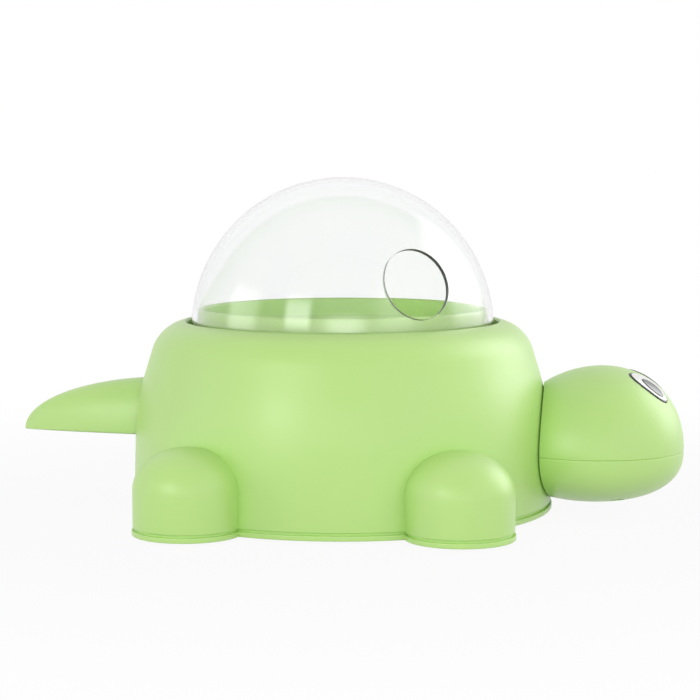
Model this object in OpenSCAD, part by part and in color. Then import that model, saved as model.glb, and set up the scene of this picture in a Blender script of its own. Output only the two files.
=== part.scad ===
// Turtle-shaped pet treat dispenser, in millimetres, +Z up, standing on its pads at z = 0.
// A press on the tail swings a lever inside the drum. Its nose lifts a plate in the floor
// of the bowl, and the treats above it jump towards the outlet in the clear dome.
// The head points to +X. The origin is the middle of the footprint's box, on the floor.

/* [Drum] */
// Outside radius of the drum at its lower edge
drum_r = 93; // [88:0.5:97]
// Wall of the green mouldings
wall = 2.4; // [2:0.1:2.8]
// Height of the nearly upright lower side
side_h = 28.8; // [26:0.2:34]
// Lean of the lower side in degrees
side_lean = 1.6; // [1:0.1:2.5]
// Radius of the bend between the lower and upper side
bend_r = 105; // [95:1:115]
// Lean of the upper side in degrees
slope_lean = 17; // [15:0.5:19]
// Height of the straight stretch of the upper side
slope_h = 10.2; // [8:0.2:13]
// Radius of the rounded shoulder
shoulder_r = 17.8; // [16.5:0.1:19]
// Round-over of the lip round the dome
lip_round = 1.2; // [0.8:0.1:1.4]
// Depth of the dome's seat below the middle of the lip's round-over
seat_depth = 5.7; // [5:0.1:7]

/* [Feet and base] */
// Outside radius of a foot
foot_r = 22.5; // [20:0.5:24]
// How far a foot's axis stands outside the drum's lower edge
foot_out = 5.8; // [4:0.2:8]
// Angle of a foot from the line through head and tail
foot_angle = 55.4; // [52:0.2:58]
// Height of a foot's straight side above the shell's lower edge
foot_side_h = 15.3; // [12:0.1:18]
// Height of a foot's domed top
foot_dome_h = 17.5; // [14:0.5:20]
// Thickness of the base plate's rim
base_t = 2.2; // [1.8:0.1:3]
// How far the base plate's rim stands out past the shell
base_lip = 0.9; // [0.5:0.1:1.5]
// Height of the shadow gap between rim and shell
shadow_gap = 1; // [0.6:0.1:1.4]
// Depth of the shadow gap behind the shell's face
shadow_depth = 0.9; // [0.6:0.1:1.2]
// Radius of a soft foot pad
pad_r = 13; // [10:0.5:15]
// Thickness of a soft foot pad
pad_t = 2; // [1.6:0.1:2.6]
// How far a pad stands below the base plate
pad_proud = 1; // [0.8:0.1:1.2]

/* [Dome] */
// Outside radius of the dome
dome_r = 67.2; // [65:0.2:69]
// Wall of the dome
dome_wall = 2; // [1.6:0.1:2.4]
// Gap between the dome and the drum's lip
groove_gap = 2; // [1.5:0.1:2.5]
// Height of the straight skirt below the hemisphere
skirt_h = 0.7; // [0.5:0.1:2]
// Radius of the outlet hole
outlet_r = 15.3; // [12:0.1:18]
// Direction of the outlet, in degrees from the right-hand side towards the head
outlet_turn = 36.3; // [20:0.1:60]
// Direction of the outlet above the horizon
outlet_rise = 20.7; // [16:0.1:35]

/* [Tray and launch plate] */
// Height of the tray's collar above the dome's seat
collar_h = 12.6; // [10:0.2:15]
// Wall of the tray
tray_wall = 2.2; // [1.8:0.1:2.6]
// Width of the shelf that carries the tray, inside the collar's face
shelf_w = 4.7; // [4:0.1:6]
// Depth of the bowl's floor below the dome's seat
bowl_depth = 11; // [9:0.5:13]
// Radius of the launch plate
plate_r = 29.6; // [26:0.2:32]
// Thickness of the launch plate at its edge
plate_t = 2.2; // [1.8:0.1:2.8]
// How far the plate is dished at its middle
plate_dish = 1; // [0.5:0.1:1.4]
// Gap between the plate and its well
well_gap = 0.6; // [0.4:0.1:1]
// Radius of the plate's stem
stem_r = 5; // [4:0.1:6]
// Wall of the stem's guide
guide_wall = 2.9; // [2.4:0.1:3.2]
// Radius of the stem's foot
stem_foot_r = 12.5; // [11.8:0.1:14]
// Thickness of the stem's foot
stem_foot_t = 3; // [2.6:0.1:3.4]
// Radius of the return spring to the middle of its wire
spring_r = 10.2; // [9.6:0.1:10.6]
// Diameter of the spring's wire
spring_wire = 1.2; // [1:0.1:1.4]
// Turns of the spring
spring_turns = 6; // [5:1:7]

/* [Tail lever] */
// Length of the tail outside the drum's lower edge
tail_len = 52; // [45:0.5:58]
// Height of the tail's underside above the floor, where it leaves the drum
tail_z = 31.6; // [29.6:0.2:33]
// Rise of the underside for each millimetre of length
tail_rise = 0.02; // [0.01:0.01:0.05]
// Height of the tail at its root
tail_h = 25.8; // [24:0.2:27.6]
// Width of the tail at its root
tail_w = 31; // [27:0.5:34]
// Angle that a press turns the lever, in degrees
tail_travel = 13; // [10:0.5:14]
// Distance of the pivot inside the drum's lower edge
pivot_in = 35; // [32:0.5:38]
// Height of the pivot above the floor
pivot_z = 34; // [32:0.2:36]
// Radius of the pivot pin
pin_r = 2.5; // [2:0.1:3]
// Radius of the lever's hub
hub_r = 9; // [8:0.2:10]
// Length of the lever's hub
hub_len = 20; // [18:0.5:22]
// Width of the lever's arm
arm_w = 14; // [12:0.5:16]
// Radius of the lever's nose
nose_r = 5; // [4.5:0.1:5.5]

/* [Head] */
// Distance of the head's middle outside the drum's lower edge
head_out = 18; // [16.4:0.2:20.4]
// Half of the head's length
head_a = 40; // [37.6:0.2:41.6]
// Half of the head's width
head_b = 38; // [34:0.2:40]
// Height of the seam between the head's halves
seam_z = 27.2; // [26:0.2:29]
// Height of the head above its seam
head_up = 36.8; // [34:0.2:40]
// Depth of the head below its seam
head_down = 22.4; // [20:0.2:23]
// How far the crown lies ahead of the middle
crown_ahead = 4.4; // [2:0.2:6]
// Gap between the head and the drum
neck_gap = 0.8; // [0.6:0.1:1]
// Half of an eye's width
eye_a = 6.3; // [5:0.1:6.6]
// Half of an eye's length
eye_b = 10.3; // [9:0.1:11.5]
// Distance of an eye's middle from the centre line
eye_y = 10.2; // [8:0.1:11]

/* [Fasteners] */
// Radius of the screws' shanks
screw_r = 1.5; // [1.3:0.1:1.6]
// Radius of the screws' heads
screw_head_r = 2.9; // [2.6:0.1:3.1]
// Height of the screws' heads
screw_head_h = 1.8; // [1.4:0.1:2]
// Radius of the bosses that take the screws
boss_r = 4.2; // [4:0.1:5]

/* [Hidden] */
$fn = 96;

green = [0.78, 0.90, 0.59];
clear = [0.85, 0.92, 0.95, 0.35];
steel = [0.72, 0.73, 0.75];
soft_grey = [0.35, 0.36, 0.37];
milky = [0.92, 0.93, 0.90];
white = [0.96, 0.96, 0.95];
black = [0.06, 0.06, 0.07];

// Clearances: a fixed fit, a running fit, faces that rest or pass, a cut past a face,
// and how far two shapes of one piece run into each other
fixed_fit = 0.02;
run_fit = 0.06;
face_gap = 0.2;
part_gap = 0.5;
cut = 1;
merge = 0.5;

// Levels of the base, and of the shell that stands on the base plate's land
base_z = pad_proud;
base_top = base_z + base_t;
shell_z = base_top + shadow_gap;

function polar(r, a) = r * [cos(a), sin(a)];
function arc(c, r, a0, a1, steps, first = 0) =
    [for (i = [first : steps]) c + polar(r, a0 + (a1 - a0) * i / steps)];
function bulge(v, e) = sign(v) * pow(abs(v), 2 / e);

// The drum's side is a leaning line, a wide bend, a second line and the shoulder's arc
side_foot = [drum_r, shell_z];
side_top = side_foot + side_h * [-tan(side_lean), 1];
bend_c = side_top - polar(bend_r, side_lean);
slope_foot = bend_c + polar(bend_r, slope_lean);
slope_top = slope_foot + slope_h * [-tan(slope_lean), 1];
shoulder_c = slope_top - polar(shoulder_r, slope_lean);
bend_steps = 8;
shoulder_steps = 12;
lip_steps = 6;
trim_angle = 60;

// The lip's round-over touches the shoulder from inside, next to the dome's groove
lip_in = dome_r + groove_gap;
lip_angle = acos((lip_in + lip_round - shoulder_c.x) / (shoulder_r - lip_round));
lip_c = shoulder_c + polar(shoulder_r - lip_round, lip_angle);
seat_z = lip_c.y - seat_depth;
web_angle = acos((lip_in + wall - shoulder_c.x) / (shoulder_r - wall));

// Tray, from the dome inwards: collar, shelf, flange and bowl
flange_t = 2.2;
flange_top = seat_z + flange_t;
collar_gap = 1;
collar_r = dome_r - dome_wall - collar_gap;
collar_in = collar_r - tray_wall;
collar_top = seat_z + collar_h;
shelf_r = collar_r - shelf_w;
flange_r = lip_in - part_gap;
floor_z = seat_z - bowl_depth;
bowl_rim_rise = 1.4;
bowl_rim_z = flange_top + bowl_rim_rise;
rim_bevel = 1;
bowl_in = collar_in - rim_bevel;
bowl_power = 2.2;
bowl_steps = 12;
well_r = plate_r + well_gap;
well_z = floor_z - plate_t - face_gap - plate_dish;
tray_under = well_z - tray_wall;
guide_r = stem_r + run_fit + guide_wall;

// Dome, its soft ring and the ring's groove in the collar
dome_z = flange_top + face_gap;
dome_c = dome_z + skirt_h;
seal_h = 1.8;
seal_depth = 1.1;
seal_gap = 0.1;
seal_rise = 1;
seal_z = flange_top + seal_rise;
seal_r = dome_r - dome_wall - seal_gap;
seal_in = collar_r - seal_depth;

// Lever: the nose sits as far below the pivot at rest as it rises above it when pressed
pivot_x = drum_r - pivot_in;
arm_dip = tail_travel / 2;
arm_len = pivot_x / cos(arm_dip);
nose_z = pivot_z - arm_len * sin(arm_dip);
plate_lift = 2 * arm_len * sin(arm_dip);
hub_bore_r = pin_r + run_fit;
stem_foot_z = nose_z + nose_r + face_gap;
stem_foot_top = stem_foot_z + stem_foot_t;
stem_socket = 1;
stem_end_z = stem_foot_top - stem_socket;
guide_spare = 1;
guide_z = stem_foot_top + plate_lift + guide_spare;

// Horn-shaped tail: half an ellipse from the side, pointed from above, with a flat underside
tail_reach = drum_r + tail_len;
horn_inset = 20;
horn_start = drum_r - horn_inset;
root_inset = 12;
root_x = drum_r - root_inset;
slot_inset = 6;
slot_x = drum_r - slot_inset;
horn_sag = 0.08;
horn_power = 2.4;
plan_power = 1.2;
tip_angle = 88;
horn_steps = 16;
horn_sides = 36;
slot_gap = 1;
function horn_turn(x) = asin((x - horn_start) / (tail_reach - horn_start));
function horn_h(x) = tail_h * cos(horn_turn(x));
function horn_w(x) = tail_w / 2 * pow(cos(horn_turn(x)), plan_power);
function horn_low(x) = tail_z + (x - drum_r) * tail_rise;
function horn_mid(x) = horn_low(x) + horn_sag * horn_h(x);
function horn_top(x) = horn_low(x) + horn_h(x);
slot_drop = pivot_in * sin(tail_travel);

// Head
head_x = drum_r + head_out;
head_reach = head_x + head_a;
crown_power = 2;
chin_power = 2.4;
drift_power = 1.6;
head_sides = 36;
head_steps = 9;
pole_angle = 86;
neck_y = 13;
neck_rise = 17.3;
neck_high_z = seam_z + neck_rise;
neck_fall = 10.2;
neck_low_z = seam_z - neck_fall;
high_places = [[-neck_y, neck_high_z], [neck_y, neck_high_z]];
low_places = [[0, neck_low_z]];
neck_inset = 8;
neck_seat_x = drum_r - neck_inset;
neck_hold = 12;
neck_end_x = drum_r + neck_hold;
socket_spare = 6;
socket_x = neck_end_x + socket_spare;
joint_y = 18;
joint_ahead = 10.6;
joint_x = head_x + joint_ahead;
joint_sink = 8;

// The drum's axis, measured from the middle of the footprint's box
drum_x = (tail_reach - head_reach) / 2;

// Screw places
base_screw_inset = 13;
base_screw_r = drum_r - base_screw_inset;
base_screw_angles = [30, 90, 150, 210, 270, 330];
tray_screw_r = (collar_r + lip_in) / 2;
tray_screw_angles = [90, 210, 330];
tray_screw_head = 2;
tray_screw_sink = 1.2;
stem_screw_head = 2.5;
stem_screw_sink = 1.2;
pilot_r = screw_r + fixed_fit;
pass_r = screw_r + face_gap;
screw_hold = 9;
pilot_spare = 2;
base_screw_len = 16;
foot_pitch = drum_r + foot_out;
feet_angles = [foot_angle, -foot_angle, 180 - foot_angle, 180 + foot_angle];

module about_axis() {
    translate([drum_x, 0, 0]) children();
}

module at_turn(r, a) {
    rotate([0, 0, a]) translate([r, 0, 0]) children();
}

// A flat outline in Y and Z, drawn out along X from x0
module along_x(x0, length) {
    translate([x0, 0, 0]) rotate([90, 0, 90]) linear_extrude(length) children();
}

// A flat outline in X and Z, drawn out along Y about the centre plane
module across_y(width) {
    rotate([90, 0, 0]) linear_extrude(width, center = true) children();
}

module rod_y(r, length) {
    rotate([90, 0, 0]) cylinder(r = r, h = length, center = true);
}

module rod_x(r, x0, x1) {
    translate([x0, 0, 0]) rotate([0, 90, 0]) cylinder(r = r, h = x1 - x0);
}

// Screw places on the head's neck, each given by its Y and Z
module at_places(places) {
    for (p = places) translate([0, p.x, p.y]) children();
}

// A closed skin over rings of points, which turn left-handed as seen along the way
module loft(rings) {
    n = len(rings[0]);
    m = len(rings);
    sides = [for (i = [0 : m - 2], j = [0 : n - 1])
        let (a = i * n + j, b = i * n + (j + 1) % n)
        each [[a, a + n, b + n], [a, b + n, b]]];
    ends = [[for (j = [0 : n - 1]) j], [for (j = [n - 1 : -1 : 0]) (m - 1) * n + j]];
    polyhedron(points = [for (ring = rings) each ring], faces = concat(sides, ends));
}

module screw(length) {
    cylinder(r = screw_r, h = length);
    translate([0, 0, -screw_head_h]) cylinder(r = screw_head_r, h = screw_head_h);
}

// Drum shell

function drum_side(off, top_angle) = concat(
    [[drum_r - off / cos(side_lean), shell_z]],
    arc(bend_c, bend_r - off, side_lean, slope_lean, bend_steps),
    arc(shoulder_c, shoulder_r - off, slope_lean, top_angle, shoulder_steps));

module drum_solid() {
    rotate_extrude() polygon(concat(
        [[0, shell_z]],
        drum_side(0, lip_angle),
        arc(lip_c, lip_round, lip_angle, 180, lip_steps, 1),
        [[lip_in, seat_z], [0, seat_z]]));
}

module drum_cavity() {
    low = drum_side(wall, web_angle);
    rotate_extrude() polygon(concat(
        [[0, shell_z - cut], [low[0].x, shell_z - cut]],
        low,
        [[lip_in + wall, seat_z - wall], [shelf_r, seat_z - wall],
         [shelf_r, seat_z + cut], [0, seat_z + cut]]));
}

// The drum's side grown outwards, to trim what stands against it
module drum_clearance(gap) {
    side = drum_side(-gap, trim_angle);
    rotate_extrude() polygon(concat(
        [[0, 0], [side[0].x, 0]],
        side,
        [[0, side[len(side) - 1].y]]));
}

module foot_form(off, low) {
    top_steps = 10;
    rotate_extrude() polygon(concat(
        [[0, low], [foot_r - off, low]],
        [for (i = [0 : top_steps]) let (a = 90 * i / top_steps)
            [(foot_r - off) * cos(a), shell_z + foot_side_h + (foot_dome_h - off) * sin(a)]]));
}

module feet(off, low) {
    for (a = feet_angles) at_turn(foot_pitch, a) foot_form(off, low);
}

module base_bosses() {
    boss_h = 26;
    boss_floor = 6;
    rib_t = 1.8;
    rib_low = shell_z + 5;
    rib_h = boss_h - 9;
    for (a = base_screw_angles) at_turn(base_screw_r, a) {
        difference() {
            translate([0, 0, shell_z]) cylinder(r = boss_r, h = boss_h);
            translate([0, 0, shell_z - cut]) cylinder(r = pilot_r, h = boss_h - boss_floor);
        }
        translate([boss_r - merge, -rib_t / 2, rib_low])
            cube([drum_r - base_screw_r - boss_r - wall / 2, rib_t, rib_h]);
    }
}

module tray_bosses() {
    post_r = 3.4;
    post_low = seat_z - screw_hold - cut;
    for (a = tray_screw_angles) at_turn(tray_screw_r, a)
        translate([0, 0, post_low]) cylinder(r = post_r, h = seat_z - wall + merge - post_low);
}

module neck_places() {
    at_places(concat(high_places, low_places)) children();
}

// Screw seats inside the wall, and pads outside it that the head's back stands on
module neck_bosses() {
    intersection() {
        neck_places() rod_x(boss_r, neck_seat_x, drum_r + neck_gap);
        drum_clearance(neck_gap - face_gap / 2);
    }
}

module tail_slot() {
    slot_in = 20;
    slot_out = 4;
    slot_w = horn_w(slot_x) + slot_gap;
    slot_mid = horn_mid(drum_r);
    slot_h = horn_top(slot_x) + slot_gap - slot_mid;
    slot_low = horn_low(drum_r) - slot_drop - slot_gap;
    steps = 20;
    top = [for (i = [0 : steps]) let (a = -90 + 180 * i / steps)
        [slot_w * bulge(sin(a), horn_power), slot_mid + slot_h * bulge(cos(a), horn_power)]];
    along_x(-drum_r - slot_out, slot_in + slot_out)
        polygon(concat(top, [[slot_w, slot_low], [-slot_w, slot_low]]));
}

module body_shell() {
    color(green) about_axis() difference() {
        union() {
            difference() {
                union() {
                    drum_solid();
                    feet(0, shell_z);
                }
                drum_cavity();
                feet(wall, shell_z - cut);
            }
            base_bosses();
            tray_bosses();
            neck_bosses();
        }
        tail_slot();
        neck_places() rod_x(pass_r, neck_seat_x - cut, drum_r + cut);
        for (a = tray_screw_angles) at_turn(tray_screw_r, a)
            translate([0, 0, seat_z - screw_hold]) cylinder(r = pilot_r, h = screw_hold + cut);
    }
}

// Base plate with the lever's two posts and the stop's pedestal

module lobed_outline(grow) {
    circle(r = drum_r + grow);
    for (a = feet_angles) rotate(a) translate([foot_pitch, 0]) circle(r = foot_r + grow);
}

post_t = 5;
post_in = hub_len / 2 + part_gap;
post_foot = 13;
stop_r = 6;
stop_foot_r = 8;
stop_t = 2;
stop_x = -14;
function arm_under(x) = let (u = (x + pivot_x) / pivot_x)
    (pivot_z - hub_r) * (1 - u) + (nose_z - nose_r) * u;
stop_top = arm_under(stop_x + stop_r) - face_gap;

module pivot_posts() {
    post_r = hub_r - 1;
    gusset_t = 3;
    gusset_w = 7;
    gusset_top = pivot_z - hub_r - 2;
    for (s = [-1, 1]) translate([-pivot_x, s * (post_in + post_t / 2), 0]) difference() {
        union() {
            translate([0, 0, pivot_z]) rod_y(post_r, post_t);
            across_y(post_t) polygon([
                [-post_foot, base_top], [post_foot, base_top],
                [post_r, pivot_z], [-post_r, pivot_z]]);
            translate([0, s * post_t / 2, 0]) rotate([90, 0, s > 0 ? 90 : -90])
                linear_extrude(gusset_t, center = true)
                polygon([[-merge, base_top], [gusset_w, base_top], [-merge, gusset_top]]);
        }
        translate([0, 0, pivot_z]) rod_y(pin_r + fixed_fit, post_t + 2 * cut);
    }
}

module locating_rim() {
    rim_gap = 0.6;
    rim_t = 1.6;
    rim_over = 3.4;
    translate([0, 0, base_top]) rotate_extrude()
        translate([drum_r - wall - rim_gap - rim_t, 0]) square([rim_t, shadow_gap + rim_over]);
}

module base_plate() {
    color(green) about_axis() difference() {
        union() {
            translate([0, 0, base_z]) linear_extrude(base_t) lobed_outline(base_lip);
            translate([0, 0, base_top]) linear_extrude(shadow_gap) lobed_outline(-shadow_depth);
            locating_rim();
            pivot_posts();
            translate([stop_x, 0, base_top - merge])
                cylinder(r1 = stop_foot_r, r2 = stop_r, h = stop_top - stop_t - base_top + merge);
        }
        for (a = feet_angles) at_turn(foot_pitch, a) translate([0, 0, base_z - cut])
            cylinder(r = pad_r + face_gap, h = pad_t - pad_proud + cut);
        for (a = base_screw_angles) at_turn(base_screw_r, a) translate([0, 0, base_z - cut]) {
            cylinder(r = pass_r, h = shell_z - base_z + 2 * cut);
            cylinder(r = screw_head_r + face_gap, h = screw_head_h + cut);
        }
    }
}

module base_screws() {
    color(steel) about_axis()
        for (a = base_screw_angles) at_turn(base_screw_r, a)
            translate([0, 0, base_z + screw_head_h]) screw(base_screw_len);
}

module foot_pad(i) {
    bevel = 0.6;
    color(soft_grey) about_axis() at_turn(foot_pitch, feet_angles[i]) rotate_extrude()
        polygon([[0, 0], [pad_r - bevel, 0], [pad_r, bevel], [pad_r, pad_t], [0, pad_t]]);
}

module stop_pad() {
    color(soft_grey) about_axis()
        translate([stop_x, 0, stop_top - stop_t]) cylinder(r = stop_r, h = stop_t);
}

// Tray: flange, collar and bowl with a well for the launch plate and the stem's guide

function bowl_part(r) = pow((r - well_r) / (bowl_in - well_r), bowl_power);
function bowl_z(r) = floor_z + (bowl_rim_z - floor_z) * bowl_part(r);
function bowl_curve(r0, r1, drop) = [for (i = [0 : bowl_steps])
    let (r = r0 + (r1 - r0) * i / bowl_steps) [r, bowl_z(r) - drop]];

module treat_tray() {
    collar_round = tray_wall / 2;
    collar_tip = [collar_r - collar_round, collar_top - collar_round];
    bowl_out = shelf_r - part_gap;
    bowl_drop = tray_wall * 1.3;
    color(green) about_axis() difference() {
        rotate_extrude() polygon(concat(
            [[stem_r + run_fit, guide_z], [guide_r, guide_z], [guide_r, tray_under],
             [well_r + tray_wall, tray_under]],
            bowl_curve(well_r + tray_wall, bowl_out, bowl_drop),
            [[bowl_out, seat_z], [flange_r, seat_z], [flange_r, flange_top],
             [collar_r, flange_top], [collar_r, seal_z], [seal_in, seal_z],
             [seal_in, seal_z + seal_h], [collar_r, seal_z + seal_h]],
            arc(collar_tip, collar_round, 0, 180, 8),
            [[collar_in, bowl_rim_z + rim_bevel]],
            bowl_curve(bowl_in, well_r, 0),
            [[well_r, well_z], [stem_r + run_fit, well_z]]));
        for (a = tray_screw_angles) at_turn(tray_screw_r, a) {
            translate([0, 0, seat_z - cut]) cylinder(r = pass_r, h = flange_t + 2 * cut);
            translate([0, 0, flange_top - tray_screw_sink])
                cylinder(r = tray_screw_head + fixed_fit, h = tray_screw_sink + cut);
        }
    }
}

module tray_screws() {
    shank = screw_hold - cut + flange_t;
    color(steel) about_axis() for (a = tray_screw_angles) at_turn(tray_screw_r, a) {
        translate([0, 0, flange_top - tray_screw_sink]) cylinder(r = tray_screw_head, h = tray_screw_sink);
        translate([0, 0, flange_top - shank]) cylinder(r = screw_r, h = shank);
    }
}

// Launch plate on its stem, with the foot that the lever's nose lifts

module launch_plate() {
    plate_low = well_z + face_gap + plate_dish / 2;
    edge_top = plate_low + plate_t + plate_dish / 2;
    low_bevel = 1;
    top_bevel = 0.6;
    rim_w = 3;
    color(green) about_axis() difference() {
        union() {
            rotate_extrude() polygon([
                [0, plate_low], [plate_r - low_bevel, plate_low], [plate_r, plate_low + low_bevel],
                [plate_r, edge_top - top_bevel], [plate_r - top_bevel, edge_top],
                [plate_r - rim_w, edge_top], [0, edge_top - plate_dish]]);
            translate([0, 0, stem_end_z]) cylinder(r = stem_r, h = plate_low - stem_end_z + merge);
        }
        translate([0, 0, stem_end_z - cut])
            cylinder(r = pilot_r, h = screw_hold + pilot_spare + cut);
    }
}

module stem_foot() {
    bevel = stem_foot_t / 2;
    color(milky) about_axis() difference() {
        rotate_extrude() polygon([
            [0, stem_foot_z], [stem_foot_r - bevel, stem_foot_z], [stem_foot_r, stem_foot_z + bevel],
            [stem_foot_r, stem_foot_top], [0, stem_foot_top]]);
        translate([0, 0, stem_end_z]) cylinder(r = stem_r + fixed_fit, h = stem_socket + cut);
        translate([0, 0, stem_foot_z - cut]) {
            cylinder(r = pass_r, h = stem_foot_t + 2 * cut);
            cylinder(r = stem_screw_head + fixed_fit, h = stem_screw_sink + cut);
        }
    }
}

module stem_screw() {
    color(steel) about_axis() translate([0, 0, stem_foot_z]) {
        cylinder(r = stem_screw_head, h = stem_screw_sink);
        cylinder(r = screw_r, h = stem_foot_t - stem_socket + screw_hold);
    }
}

// Return spring: one tube swept along a helix, with its end turns closed up flat
spring_low = stem_foot_top + face_gap / 2 + spring_wire / 2;
spring_high = tray_under - face_gap / 2 - spring_wire / 2;
spring_rings = 8;
spring_sides = 6;
end_rise = spring_wire * 1.45;
function spring_rise(t) = let (mid = spring_high - spring_low - 2 * end_rise)
    t < 1 ? t * end_rise
    : t > spring_turns - 1 ? end_rise + mid + (t - spring_turns + 1) * end_rise
    : end_rise + mid * (t - 1) / (spring_turns - 2);
function spring_ring(t) = [for (k = [0 : spring_sides - 1])
    let (a = 360 * t, b = 360 * k / spring_sides,
         r = spring_r + spring_wire / 2 * cos(b))
    [r * cos(a), r * sin(a), spring_low + spring_rise(t) + spring_wire / 2 * sin(b)]];
spring_points = [for (i = [0 : spring_turns * spring_rings]) spring_ring(i / spring_rings)];
spring_gap = min([for (i = [0 : (spring_turns - 1) * spring_rings])
    spring_rise(i / spring_rings + 1) - spring_rise(i / spring_rings) - spring_wire]);
echo(spring_gap = spring_gap);

module return_spring() {
    color(steel) about_axis() loft(spring_points);
}

// Tail lever: hollow horn outside, ribbed arm inside, hub on the pivot pin

function horn_ring(x) = [for (j = [0 : horn_sides - 1])
    let (a = 360 * j / horn_sides, c = cos(a), h = horn_h(x))
    [-x, horn_w(x) * bulge(sin(a), horn_power),
     horn_mid(x) + (c > 0 ? 1 - horn_sag : horn_sag) * h * bulge(c, horn_power)]];

function pocket_ring(x) = let (
        steps = 12,
        w = horn_w(x) - wall,
        h = horn_h(x) * (1 - horn_sag) - wall,
        low = horn_low(x) - cut)
    concat([for (i = [0 : steps]) let (a = -90 + 180 * i / steps)
        [-x, w * bulge(sin(a), horn_power), horn_mid(x) + h * bulge(cos(a), horn_power)]],
        [[-x, w, low], [-x, -w, low]]);

module horn() {
    start = horn_turn(root_x);
    step = (tip_angle - start) / horn_steps;
    loft([for (i = [0 : horn_steps])
        horn_ring(horn_start + (tail_reach - horn_start) * sin(start + step * i))]);
}

// Open pockets under the horn, with a cross rib between each two
module horn_pockets() {
    pockets = 3;
    steps = 3;
    rib = 1.8;
    first = root_x + 4;
    last = tail_reach - 12;
    pitch = (last - first) / pockets;
    for (i = [0 : pockets - 1])
        loft([for (j = [0 : steps]) pocket_ring(first + i * pitch + (pitch - rib) * j / steps)]);
}

module lever_side(inset) {
    tip = [0, nose_z];
    hub = [-pivot_x, pivot_z];
    up = [sin(arm_dip), cos(arm_dip)];
    hub_in = hub_r - inset;
    nose_in = nose_r - inset;
    foot_clear = 2;
    neck_x = -stem_foot_r - foot_clear - inset;
    neck_z = nose_z + nose_r / 2 - inset;
    root_hold = 3;
    low_step = 4;
    high_step = 5;
    tail_x = inset - root_x - root_hold;
    tail_low = horn_low(root_x) + low_step + inset;
    tail_high = horn_top(root_x) - high_step - inset;
    polygon([hub + hub_in * up, [neck_x, neck_z], [0, neck_z], tip - nose_in * up, hub - hub_in * up]);
    polygon([hub + [0, hub_in], hub - [0, hub_in], [tail_x, tail_low], [tail_x, tail_high]]);
}

module tail_lever() {
    flange = 2.6;
    web = 3;
    recess = (arm_w - web) / 2;
    color(green) about_axis() difference() {
        union() {
            difference() {
                horn();
                horn_pockets();
            }
            difference() {
                across_y(arm_w) lever_side(0);
                for (s = [-1, 1]) translate([0, s * (web + recess + cut) / 2, 0])
                    across_y(recess + cut) lever_side(flange);
            }
            translate([-pivot_x, 0, pivot_z]) rod_y(hub_r, hub_len);
            translate([0, 0, nose_z]) rod_y(nose_r, arm_w);
        }
        translate([-pivot_x, 0, pivot_z]) rod_y(hub_bore_r, hub_len + 2 * cut);
    }
}

clip_t = 0.8;
clip_r = 2 * pin_r;
clip_mouth = 1.7 * pin_r;
clip_y = post_in + post_t + face_gap / 2 + clip_t / 2;
clip_groove = 0.4;
clip_gap = 0.1;
pin_end = 1.5;

module pivot_pin() {
    color(steel) about_axis() translate([-pivot_x, 0, pivot_z]) difference() {
        rod_y(pin_r, 2 * (clip_y + clip_t / 2 + pin_end));
        for (s = [-1, 1]) translate([0, s * clip_y, 0]) difference() {
            rod_y(pin_r + cut, clip_t + clip_gap);
            rod_y(pin_r - clip_groove, clip_t + cut);
        }
    }
}

module pin_clips() {
    color(steel) about_axis()
        for (s = [-1, 1]) translate([-pivot_x, s * clip_y, pivot_z]) difference() {
            rod_y(clip_r, clip_t);
            rod_y(pin_r - clip_groove + fixed_fit, clip_t + cut);
            translate([0, 0, -clip_r]) cube([clip_mouth, clip_t + cut, 2 * clip_r], center = true);
        }
}

// Dome and its soft ring

module dome() {
    color(clear) about_axis() difference() {
        rotate_extrude() difference() {
            union() {
                translate([0, dome_c]) circle(r = dome_r);
                translate([0, dome_z]) square([dome_r, skirt_h]);
            }
            translate([0, dome_c]) circle(r = dome_r - dome_wall);
            translate([0, dome_z - cut]) square([dome_r - dome_wall, skirt_h + cut]);
            translate([0, dome_z - 2 * dome_r]) square([2 * dome_r, 2 * dome_r]);
            translate([-2 * dome_r, 0]) square([2 * dome_r, 3 * dome_r]);
        }
        translate([0, 0, dome_c]) rotate([0, 90 - outlet_rise, outlet_turn - 90])
            cylinder(r = outlet_r, h = dome_r + cut);
    }
}

module dome_seal() {
    color(milky) about_axis() rotate_extrude()
        translate([seal_in + seal_gap, seal_z + seal_gap])
        square([seal_r - seal_in - seal_gap, seal_h - 2 * seal_gap]);
}

// Head: rounded rings that move forward towards the crown

function head_ring(level, a, b, z, ahead) = [for (j = [0 : head_sides - 1])
    let (t = 360 * j / head_sides)
    [head_x + ahead + a * level * cos(t), b * level * sin(t), z]];
function head_level(phi, power) = pow(cos(phi), 2 / power);
function head_part(phi, power) = pow(sin(phi), 2 / power);
function crown_shift(part) = crown_ahead * pow(part, drift_power);

function upper_rings(off) = [for (i = [0 : head_steps])
    let (phi = pole_angle * i / head_steps, part = head_part(phi, crown_power))
    head_ring(head_level(phi, crown_power), head_a - off, head_b - off,
        seam_z + (head_up - off) * part, crown_shift(part))];
function lower_rings(off) = [for (i = [head_steps : -1 : 0])
    let (phi = pole_angle * i / head_steps)
    head_ring(head_level(phi, chin_power), head_a - off, head_b - off,
        seam_z - (head_down - off) * head_part(phi, chin_power), 0)];
function seam_ring(off, z) = head_ring(1, head_a - off, head_b - off, z, 0);

module eye_frame(s) {
    eye_level = 0.8;
    eye_lean = 38;
    eye_turn = 27;
    eye_twist = 15;
    part = pow(1 - pow(eye_level, crown_power), 1 / crown_power);
    reach = head_a * part * sqrt(1 - pow(eye_y / (head_b * part), 2));
    eye_x = head_x + crown_shift(eye_level) + reach;
    translate([eye_x, s * eye_y, seam_z + head_up * eye_level])
        rotate([0, 0, s * eye_turn])
        rotate([0, eye_lean, 0])
        rotate([0, 0, -s * eye_twist]) children();
}

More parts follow.
